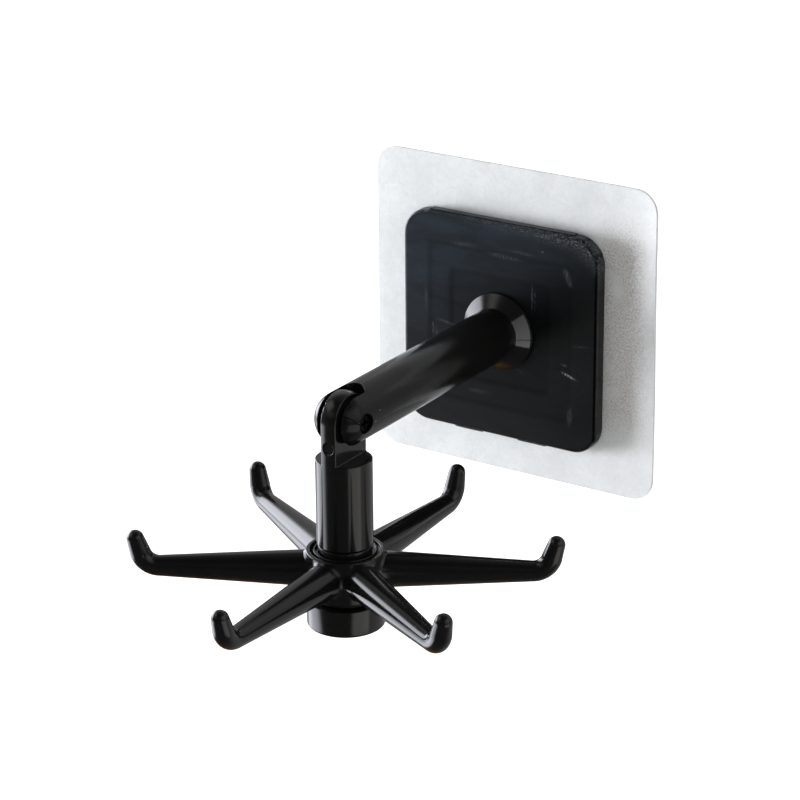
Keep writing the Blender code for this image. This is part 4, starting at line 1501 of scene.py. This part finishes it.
@dataclass
class HookRotor:
    """The rotor, one moulding: a hub with a grooved top and six upturned hooks."""

    hooks: int = 6
    first_angle: float = math.radians(30.0)
    hub_radius: float = 9.3 * MM
    hub_height: float = 10.7 * MM
    lip: float = 1.0 * MM
    groove_depth: float = 1.5 * MM
    bore_radius: float = 5.5 * MM
    sleeve_wall: float = 0.9 * MM
    sleeve_rise: float = 1.3 * MM
    collar_radius: float = 7.55 * MM
    collar_wall: float = 0.5 * MM
    collar_drop: float = 0.05 * MM
    spoke_drop: float = 5.1 * MM
    root_inside: float = 0.5 * MM
    root_radius: float = 4.36 * MM
    root_blend: float = 7.0 * MM
    bend_rod_radius: float = 2.5 * MM
    tip_radius: float = 2.1 * MM
    tip_end: float = math.radians(88.0)
    reach: float = 43.8 * MM
    bend_radius: float = 4.7 * MM
    lean: float = math.radians(17.0)
    finger: float = 3.65 * MM
    fillet: float = 0.5 * MM
    rod_sides: int = SMALL_SIDES

    def hub(self) -> BMesh:
        """Make the hub, with its top at height zero.

        Returns:
            The shell.
        """
        groove, middle = self.hub_radius - self.lip, -self.hub_height / 2
        sleeve, collar = self.bore_radius + self.sleeve_wall, self.collar_radius - self.collar_wall
        ring = rounded_profile([
            (self.bore_radius, middle, 0.0),
            (self.bore_radius, -self.hub_height, 0.15 * MM),
            (self.hub_radius, -self.hub_height, 0.3 * MM),
            (self.hub_radius, 0.0, 0.28 * MM),
            (groove, 0.0, 0.25 * MM),
            (groove, -self.groove_depth, 0.2 * MM),
            (self.collar_radius, -self.groove_depth, 0.1 * MM),
            (self.collar_radius, -self.collar_drop, 0.15 * MM),
            (collar, -self.collar_drop, 0.15 * MM),
            (collar, -self.groove_depth / 2, 0.05 * MM),
            (sleeve, -self.groove_depth / 2, 0.1 * MM),
            (sleeve, self.sleeve_rise, 0.2 * MM),
            (self.bore_radius, self.sleeve_rise, 0.15 * MM),
            (self.bore_radius, middle, 0.0),
        ])
        return turned(ring[:-1], LARGE_SIDES)

    def hook_points(self) -> list[Corner]:
        """Draw the centre line of a hook along +X.

        Returns:
            (distance out, height, radius of the rod) of each point.
        """
        start, turn = self.hub_radius + self.fillet, math.pi / 2 - self.lean
        points = [(self.hub_radius - self.root_inside, 0.0, self.root_radius + self.fillet)]
        for angle in arc_steps(0.0, math.pi / 2, 7):
            out = self.fillet * math.sin(angle)
            points.append((self.hub_radius + out, 0.0, self.root_radius + self.fillet - out))
        for share in arc_steps(0.0, 1.0, 12)[1:]:
            radius = self.root_radius + (self.bend_rod_radius - self.root_radius) * share
            points.append((start + (self.reach - start) * share, 0.0, radius))
        for heading in arc_steps(0.0, turn, 16)[1:]:
            out = self.reach + self.bend_radius * math.sin(heading)
            points.append((out, self.bend_radius * (1 - math.cos(heading)), self.bend_rod_radius))
        out, up, _ = points[-1]
        finger = []
        for share in arc_steps(0.0, 1.0, 4)[1:]:
            radius = self.bend_rod_radius + (self.tip_radius - self.bend_rod_radius) * share
            finger.append((self.finger * share, radius))
        for angle in arc_steps(0.0, self.tip_end, 11)[1:]:
            finger.append((self.finger + self.tip_radius * math.sin(angle), self.tip_radius * math.cos(angle)))
        return points + [(out + far * math.cos(turn), up + far * math.sin(turn), radius) for far, radius in finger]

    def hook_line(self) -> Curve:
        """Turn a hook's centre line into a curve that holds the rod's radius at each point.

        Returns:
            The curve.
        """
        points = self.hook_points()
        line = bpy.data.curves.new("hook_line", "CURVE")
        line.dimensions = "3D"
        spline = line.splines.new("POLY")
        spline.points.add(len(points) - 1)
        for place, (out, height, radius) in zip(spline.points, points):
            place.co = (out, 0.0, height, 1.0)
            place.radius = radius
        return line

    def recipe(self) -> GeometryRecipe:
        """Grow the tree that sweeps one hook and sets the star of them round the hub.

        Returns:
            The tree, which starts from a hook's centre line.
        """
        star = GeometryRecipe("hook_star", {
            "Hooks": self.hooks, "First Angle": self.first_angle, "Hub Radius": self.hub_radius,
            "Blend Start": self.hub_radius + self.fillet, "Blend Length": self.root_blend,
            "Drop": self.spoke_drop, "Rod Sides": self.rod_sides,
        })
        add, size = star.add, star.inputs
        ring = add("GeometryNodeCurvePrimitiveCircle", {"Resolution": size["Rod Sides"], "Radius": 1.0})
        radius = add("GeometryNodeInputRadius")
        rod = add("GeometryNodeCurveToMesh", {
            "Curve": size["Geometry"], "Profile Curve": ring, "Scale": radius, "Fill Caps": True,
        })
        # The root follows the round of the hub: sideways points slide back to its surface
        parts = add("SeparateXYZ", (add("GeometryNodeInputPosition"),)).outputs
        aside = add("Math", (parts["Y"], parts["Y"]), operation="MULTIPLY")
        whole = add("Math", (size["Hub Radius"], size["Hub Radius"]), operation="MULTIPLY")
        surface = add("Math", (add("Math", (whole, aside), operation="SUBTRACT"),), operation="SQRT")
        slide = add("Math", (surface, size["Hub Radius"]), operation="SUBTRACT")
        end = add("Math", (size["Blend Start"], size["Blend Length"]), operation="ADD")
        share = add("MapRange", (parts["X"], size["Blend Start"], end, 1.0, 0.0), **SMOOTH)
        shift = add("CombineXYZ", {"X": add("Math", (slide, share), operation="MULTIPLY")})
        fitted = add("GeometryNodeSetPosition", {"Geometry": rod, "Offset": shift})
        drop = add("CombineXYZ", {"Z": add("Math", (size["Drop"], -1.0), operation="MULTIPLY")})
        lowered = add("GeometryNodeTransform", {"Geometry": fitted, "Translation": drop})
        seats = add("GeometryNodePoints", {"Count": size["Hooks"]})
        step = add("Math", (math.tau, size["Hooks"]), operation="DIVIDE")
        number = add("GeometryNodeInputIndex")
        angle = add("Math", (number, step, size["First Angle"]), operation="MULTIPLY_ADD")
        turn = add("CombineXYZ", {"Z": angle})
        star.close(add("GeometryNodeInstanceOnPoints", {"Points": seats, "Instance": lowered, "Rotation": turn}))
        return star

    def build(self, shelf: FinishShelf) -> list[Object]:
        """Make and dress the rotor.

        Args:
            shelf: the materials.

        Returns:
            The rotor.
        """
        hooks = self.recipe().make("hook_star", {"Hooks": self.hooks}, shelf.black, self.hook_line())
        star = bmesh.new()
        star.from_mesh(hooks.data)
        bpy.data.objects.remove(hooks)
        bmesh.ops.recalc_face_normals(star, faces=star.faces)
        rotor = shell_object("six_hook_rotor", joined(self.hub(), star), along(POST_AXES, -HUB_TOP))
        return [finished(rotor, shelf.black, Body.ROTOR, "hook_rotor")]


@dataclass
class EndCap:
    """The cap under the rotor, with its socket above and the screw's recess below."""

    radius: float = 9.3 * MM
    edge_radius: float = 0.6 * MM
    socket_depth: float = 3.0 * MM
    web: float = 1.4 * MM
    hole_radius: float = 1.7 * MM
    recess_radius: float = 2.95 * MM

    def build(self, shelf: FinishShelf) -> list[Object]:
        """Make and dress the cap.

        Args:
            shelf: the materials.

        Returns:
            The cap.
        """
        socket, web_top = JOURNAL_RADIUS + SEAT_GAP, -CAP_TOP - self.socket_depth
        web_middle, web_under = web_top - self.web / 2, web_top - self.web
        ring = rounded_profile([
            (self.hole_radius, web_middle, 0.0),
            (self.hole_radius, web_top, 0.1 * MM),
            (socket, web_top, 0.1 * MM),
            (socket, -CAP_TOP, 0.2 * MM),
            (self.radius, -CAP_TOP, 0.28 * MM),
            (self.radius, -CAP_BOTTOM, self.edge_radius),
            (self.recess_radius, -CAP_BOTTOM, 0.25 * MM),
            (self.recess_radius, web_under, 0.15 * MM),
            (self.hole_radius, web_under, 0.1 * MM),
            (self.hole_radius, web_middle, 0.0),
        ], 6)
        cap = shell_object("end_cap_cup", turned(ring[:-1], LARGE_SIDES), POST_AXES)
        return [finished(cap, shelf.black, Body.POST, "end_cap")]


class HeadShape(Enum):
    """The head that a screw's blank is given."""

    PAN = "pan"
    COUNTERSUNK = "countersunk"


# How deep a cross recess goes, as a share of the head's height
RECESS_DEPTH = {HeadShape.PAN: 0.82, HeadShape.COUNTERSUNK: 0.5}


@dataclass(frozen=True)
class Screw:
    """A cross-head screw: its blank, and where it goes, with its seat or top at Z = 0."""

    name: str
    node: str
    body: Body
    shape: HeadShape
    head_radius: float
    head_height: float
    shank_radius: float
    length: float
    place: Matrix

    def blank(self) -> Mesh:
        """Turn the blank, whose shank runs down its own Z.

        Returns:
            The blank, without thread and recess.
        """
        head, shank, high = self.head_radius, self.shank_radius, self.head_height
        if self.shape is HeadShape.PAN:
            corners = [
                (shank, -self.length, shank * 0.3), (shank, 0.0, 0.0), (head, 0.0, 0.1 * MM),
                (head, high, high * 0.45), (0.0, high, 0.0),
            ]
        else:
            corners = [
                (shank, shank - self.length, 0.0), (shank, -high, 0.0), (head, 0.0, 0.08 * MM), (0.0, 0.0, 0.0),
            ]
        profile = rounded_profile([(0.0, -self.length, 0.0), *corners])
        return as_mesh(self.name + "_blank", turned(profile, SMALL_SIDES))

    def sizes(self) -> dict[str, float]:
        """Work out the recipe's inputs for this screw.

        Returns:
            The inputs by name.
        """
        pan = self.shape is HeadShape.PAN
        return {
            "Shank Radius": self.shank_radius, "Thread Length": self.length * 0.8,
            "Thread Start": -self.length * 0.9, "Head Top": self.head_height if pan else 0.0,
            "Recess Length": self.head_radius * 1.24, "Recess Width": self.head_radius * 0.32,
            "Recess Depth": self.head_height * RECESS_DEPTH[self.shape],
        }


@dataclass(frozen=True)
class Washer:
    """A flat washer: its sizes and where it goes, with its middle at Z = 0."""

    name: str
    node: str
    body: Body
    inner: float
    outer: float
    thickness: float
    place: Matrix

    def sizes(self) -> dict[str, float]:
        """Work out the recipe's inputs for this washer.

        Returns:
            The inputs by name.
        """
        return {
            "Middle Radius": (self.inner + self.outer) / 2, "Width": self.outer - self.inner,
            "Thickness": self.thickness, "Edge Rounding": self.thickness * 0.2,
        }


class Fasteners:
    """The three screws, the nut and the three washers."""

    hinge_head = 1.4 * MM
    hinge_head_sunk = 0.8 * MM
    cap_seat = 49.65 * MM
    hinge_washer = (1.45 * MM, 4.6 * MM)
    rotor_washer = (JOURNAL_RADIUS + SEAT_GAP, 7.6 * MM)
    rotor_washer_thickness = 1.1 * MM

    def __init__(self) -> None:
        """Work out where each one goes."""
        hinge_seat = ROD_RADIUS - self.hinge_head_sunk - self.hinge_head
        self.screws = [
            Screw("hinge_screw_dark", "hinge_screw", Body.BASE, HeadShape.PAN, 2.1 * MM, self.hinge_head,
                  1.2 * MM, 10.6 * MM, along(PIN_AXES, hinge_seat)),
            Screw("arm_screw_zinc", "arm_screw", Body.BASE, HeadShape.COUNTERSUNK, 3.4 * MM, 1.8 * MM,
                  1.75 * MM, 22.0 * MM, along(ARM_AXES, CAVITY_FLOOR) @ UPSIDE_DOWN),
            Screw("cap_screw_zinc", "cap_screw", Body.POST, HeadShape.PAN, 2.7 * MM, 1.7 * MM,
                  1.45 * MM, 12.0 * MM, along(POST_AXES @ UPSIDE_DOWN, self.cap_seat)),
        ]
        middle, thickness = (TONGUE_HALF + SLOT_HALF) / 2, SLOT_HALF - TONGUE_HALF - 2 * SEAT_GAP
        below = -WASHER_TOP - self.rotor_washer_thickness / 2
        self.washers = [
            Washer("near_hinge_washer", "friction_washer_near", Body.BASE, *self.hinge_washer,
                   thickness, along(PIN_AXES, middle)),
            Washer("far_hinge_washer", "friction_washer_far", Body.BASE, *self.hinge_washer,
                   thickness, along(PIN_AXES, -middle)),
            Washer("rotor_washer", "thrust_washer", Body.POST, *self.rotor_washer,
                   self.rotor_washer_thickness, along(POST_AXES, below)),
        ]

    @staticmethod
    def screw_recipe() -> GeometryRecipe:
        """Grow the tree that rolls a thread on a blank and strikes its cross recess.

        Returns:
            The tree, which starts from the blank.
        """
        screw = GeometryRecipe("cross_head_screw", {
            "Shank Radius": 1.2 * MM, "Thread Length": 8.0 * MM, "Thread Start": -9.0 * MM,
            "Thread Pitch": 0.6 * MM, "Thread Depth": 0.16 * MM, "Head Top": 1.4 * MM,
            "Recess Length": 2.6 * MM, "Recess Width": 0.7 * MM, "Recess Depth": 0.7 * MM,
        })
        add, size = screw.add, screw.inputs
        turns = add("Math", (size["Thread Length"], size["Thread Pitch"]), operation="DIVIDE")
        helix = add("GeometryNodeCurveSpiral", {
            "Resolution": 24, "Rotations": turns, "Height": size["Thread Length"],
            "Start Radius": size["Shank Radius"], "End Radius": size["Shank Radius"],
        })
        ridge = add("GeometryNodeCurvePrimitiveCircle", {"Resolution": 3, "Radius": size["Thread Depth"]})
        thread = add("GeometryNodeCurveToMesh", {"Curve": helix, "Profile Curve": ridge, "Fill Caps": True})
        start = add("CombineXYZ", {"Z": size["Thread Start"]})
        rolled = add("GeometryNodeTransform", {"Geometry": thread, "Translation": start})
        depth = add("Math", (size["Recess Depth"], 2.0), operation="MULTIPLY")
        top = add("CombineXYZ", {"Z": size["Head Top"]})
        struck = size["Geometry"]
        for sides in (("Recess Length", "Recess Width"), ("Recess Width", "Recess Length")):
            shape = add("CombineXYZ", (*(size[side] for side in sides), depth))
            bar = add("GeometryNodeMeshCube", {"Size": shape})
            punch = add("GeometryNodeTransform", {"Geometry": bar, "Translation": top})
            struck = add("GeometryNodeMeshBoolean", (struck, punch), operation="DIFFERENCE", solver="EXACT")
        whole = add("GeometryNodeJoinGeometry", (struck,))
        screw.tree.links.new(rolled.outputs[0], whole.inputs[0])
        screw.close(whole)
        return screw

    @staticmethod
    def washer_recipe() -> GeometryRecipe:
        """Grow the tree that runs a round-edged section round a circle.

        Returns:
            The tree, which starts from nothing.
        """
        washer = GeometryRecipe("flat_washer", {
            "Middle Radius": 3.0 * MM, "Width": 3.0 * MM, "Thickness": 0.75 * MM,
            "Edge Rounding": 0.15 * MM, "Sides": 64,
        })
        add, size = washer.add, washer.inputs
        circle = {"Resolution": size["Sides"], "Radius": size["Middle Radius"]}
        path = add("GeometryNodeCurvePrimitiveCircle", circle)
        flat = {"Width": size["Width"], "Height": size["Thickness"]}
        section = add("GeometryNodeCurvePrimitiveQuadrilateral", flat)
        rounding = {"Curve": section, "Count": 3, "Radius": size["Edge Rounding"]}
        soft = add("GeometryNodeFilletCurve", rounding, mode="POLY")
        washer.close(add("GeometryNodeCurveToMesh", {"Curve": path, "Profile Curve": soft}))
        return washer

    def build(self, shelf: FinishShelf) -> list[Object]:
        """Make and dress the screws and washers, and dress the nut.

        Args:
            shelf: the materials.

        Returns:
            The screws, the washers and the nut.
        """
        pieces = []
        recipe = self.screw_recipe()
        for screw in self.screws:
            finish = shelf.dark_steel_and_shade if screw.node == "hinge_screw" else shelf.steel
            piece = recipe.make(screw.name, screw.sizes(), finish, screw.blank(), screw.place)
            pieces.append(finished(piece, finish, screw.body, screw.node))
        recipe = self.washer_recipe()
        for washer in self.washers:
            piece = recipe.make(washer.name, washer.sizes(), shelf.nylon, place=washer.place)
            pieces.append(finished(piece, shelf.nylon, washer.body, washer.node))
        return [*pieces, dressed(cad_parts["hinge_nut"], shelf.dark_steel_and_shade)]


# Studio

class LampUse(Enum):
    """What a lamp is for: light on surfaces, streaks in the gloss, or both."""

    WASH = "wash"
    SHEEN = "sheen"
    BOTH = "both"


@dataclass(frozen=True)
class SoftLamp:
    """A rectangular lamp behind a diffuser, brightest at its middle.

    Azimuth is in degrees from +X towards +Y and elevation in degrees above the object.
    Distance and size are in metres. Radiance is its middle's brightness, where 1 is white.
    """

    name: str
    azimuth: float
    elevation: float
    distance: float
    size: Point2
    radiance: float
    softness: float = 0.3
    colour: str = "#ffffff"
    use: LampUse = LampUse.BOTH

    def soften(self, data: Light) -> None:
        """Fade the lamp's face towards its edges.

        Args:
            data: the lamp, whose own colour and power stay as they are.
        """
        add = fresh_tree(data)
        parts = add("SeparateXYZ", (add("NewGeometry").outputs["Parametric"],)).outputs
        level: Node | float = 1.0
        for axis in ("X", "Y"):
            fade = band(add, parts[axis], 0.5, 0.5 - self.softness, 0.5, 1.0, 0.0)
            level = add("Math", (level, fade), operation="MULTIPLY")
        add("OutputLight", {"Surface": add("Emission", {"Strength": level})})

    def hang(self, centre: Vector) -> None:
        """Hang the lamp so that it faces the object.

        Args:
            centre: the place in the object that it faces.
        """
        data = bpy.data.lights.new(self.name, "AREA")
        data.shape = "RECTANGLE"
        data.size, data.size_y = self.size
        data.energy = self.radiance * math.pi * self.size[0] * self.size[1]
        data.color = linear(self.colour)[:3]
        self.soften(data)
        hung = add_object(self.name, data)
        turn, rise = math.radians(self.azimuth), math.radians(self.elevation)
        away = Vector((math.cos(turn) * math.cos(rise), math.sin(turn) * math.cos(rise), math.sin(rise)))
        hung.location = centre + away * self.distance
        hung.rotation_euler = away.to_track_quat("Z", "Y").to_euler()
        hung.visible_camera = False
        hung.visible_glossy = self.use is not LampUse.WASH
        hung.visible_diffuse = self.use is not LampUse.SHEEN


LAMPS = (
    SoftLamp("key_softbox", 178.0, 6.0, 0.90, (1.10, 0.70), 6.5, 0.22, "#f3f6ff", LampUse.SHEEN),
    SoftLamp("key_lower_part", -166.0, -27.0, 0.90, (1.25, 0.55), 3.8, 0.30, "#f3f6ff", LampUse.SHEEN),
    SoftLamp("left_wash", -170.5, -6.0, 1.00, (0.50, 0.60), 77.0, 0.30, "#fbfcff", LampUse.WASH),
    SoftLamp("right_panel", -8.0, 26.0, 1.20, (1.90, 1.50), 0.55, 0.35),
    SoftLamp("low_right_panel", -15.0, -22.0, 1.05, (1.15, 0.70), 1.0, 0.22, "#fffdf8"),
    SoftLamp("back_fill", 90.0, 52.0, 1.20, (1.60, 1.20), 4.2, use=LampUse.WASH),
    SoftLamp("front_glow", -122.0, 28.0, 1.20, (1.30, 0.80), 0.24, 0.45, use=LampUse.SHEEN),
    SoftLamp("upper_left_glow", -150.0, 45.0, 1.20, (1.10, 0.80), 0.90, 0.35),
)


class Studio:
    """The pale floor, the soft lamps, the room's light and the camera."""

    centre = Vector((0.0, -0.030, -0.020))
    lens = 133.097
    sensor_width = 36.0
    # The camera's bearing, height and tilt in degrees, and its place on its own axes
    camera_angles = (33.199, 21.35, -0.464)
    camera_place = (-0.01236, 0.008231, 0.719184)
    floor_height = -0.85
    floor_half = 6.0
    floor_colour = "#e9e6e1"
    floor_in_gloss = (0.07, 0.42)
    floor_depth = (-0.4, 0.7)
    table_place = (-0.45, 0.05, -0.85)
    table_reach = (0.62, 0.20)
    table_colour = "#ffb98a"
    room_level = 0.47
    room_in_gloss = (0.04, 0.36)
    ceiling_share = 0.3

    def camera(self) -> None:
        """Set the camera where the photograph was taken from."""
        turn, rise, roll = (math.radians(angle) for angle in self.camera_angles)
        data = bpy.data.cameras.new("product_camera")
        data.lens, data.sensor_width = self.lens, self.sensor_width
        camera = add_object("product_camera", data)
        level = Matrix.Rotation(turn, 4, "Z") @ Matrix.Rotation(math.pi / 2 - rise, 4, "X")
        axes = Matrix.Translation(self.centre) @ level @ Matrix.Rotation(roll, 4, "Z")
        camera.matrix_world = axes @ Matrix.Translation(self.camera_place)
        bpy.context.scene.camera = camera

    def paper(self) -> Material:
        """Make the floor's paper, which glows white to the camera and dimly in gloss.

        Returns:
            The material.
        """
        material = bpy.data.materials.new("matt_white_paper")
        add = fresh_tree(material)
        rays = add("LightPath").outputs
        glossy = rays["Is Glossy Ray"]
        # The photograph's gloss mirrors a dim room, so the paper is dimmer there, most in front
        place = add("TexCoord").outputs["Object"]
        depth = add("SeparateXYZ", (place,)).outputs["Y"]
        behind = add("MapRange", (depth, *self.floor_depth, *self.floor_in_gloss), **SMOOTH)
        mirrored = add("Math", (behind, glossy), operation="MULTIPLY")
        # The table under it is brown there, which warms the undersides of the hooks
        table = add("VectorMath", (place, self.table_place), operation="DISTANCE").outputs["Value"]
        brown = add("MapRange", (table, *self.table_reach), **SMOOTH)
        warm = add("Math", (brown, glossy), operation="MULTIPLY")
        hue = add("Mix", {0: warm, 6: linear("#ffffff"), 7: linear(self.table_colour)}, **COLOURS)
        colour = add("Mix", {0: glossy, 6: linear(self.floor_colour), 7: linear("#000000")}, **COLOURS)
        seen = add("Math", (rays["Is Camera Ray"], rays["Is Transmission Ray"]), operation="MAXIMUM")
        strength = add("Math", (seen, mirrored), operation="MAXIMUM")
        matt = add("BsdfDiffuse", {"Color": colour.outputs[2]})
        glow = add("Emission", {"Color": hue.outputs[2], "Strength": strength})
        add("OutputMaterial", {"Surface": add("AddShader", (matt, glow))})
        return material

    def floor(self) -> None:
        """Lay the pale floor."""
        shell = bmesh.new()
        bmesh.ops.create_grid(shell, x_segments=1, y_segments=1, size=self.floor_half)
        shell.transform(Matrix.Translation((0.0, 0.0, self.floor_height)))
        dressed(add_object("studio_floor", as_mesh("studio_floor", shell)), self.paper())

    def room(self) -> None:
        """Set the room's light: white to the camera, even on surfaces and dim in gloss."""
        world = bpy.data.worlds.new("plain_room")
        bpy.context.scene.world = world
        add = fresh_tree(world)
        rays = add("LightPath").outputs
        seen = add("Math", (rays["Is Camera Ray"], rays["Is Transmission Ray"]), operation="MAXIMUM")
        # In gloss the room is darkest behind the camera and overhead. Of each fade: its
        # axis, where it starts and ends, and its level there
        facing = add("SeparateXYZ", (add("TexCoord").outputs["Generated"],)).outputs
        mirrored: Node | float = 1.0
        for axis, *band in (
            ("Y", -0.30, 0.50, *self.room_in_gloss), ("Z", 0.0, 0.6, 1.0, 1.4),
            ("Z", 0.62, 0.85, 1.0, self.ceiling_share),
        ):
            share = add("MapRange", (facing[axis], *band), **SMOOTH)
            mirrored = add("Math", (mirrored, share), operation="MULTIPLY")
        plain = add("Mix", {0: rays["Is Glossy Ray"], 2: self.room_level, 3: mirrored})
        level = add("Mix", {0: seen, 2: plain, 3: 1.0})
        light = add("Background", {"Color": linear("#ffffff"), "Strength": level})
        add("OutputWorld", {"Surface": light})

    def build(self) -> None:
        """Set up the whole studio."""
        bpy.context.scene.view_settings.view_transform = "Standard"
        self.camera()
        self.room()
        self.floor()
        for lamp in LAMPS:
            lamp.hang(self.centre)


def main() -> None:
    """Build the studio and every assembly, and log each piece's name and face count."""
    logging.basicConfig(level=logging.INFO, format="%(message)s")
    Studio().build()
    shelf = FinishShelf()
    assemblies = (WallSheet(), BasePlate(), SupportArm(), Fasteners(), SwivelPost(), HookRotor(), EndCap())
    for assembly in assemblies:
        for piece in assembly.build(shelf):
            LOG.info("%s: %s, %d faces", type(assembly).__name__, piece.name, len(piece.data.polygons))


if __name__ == "__main__":
    main()
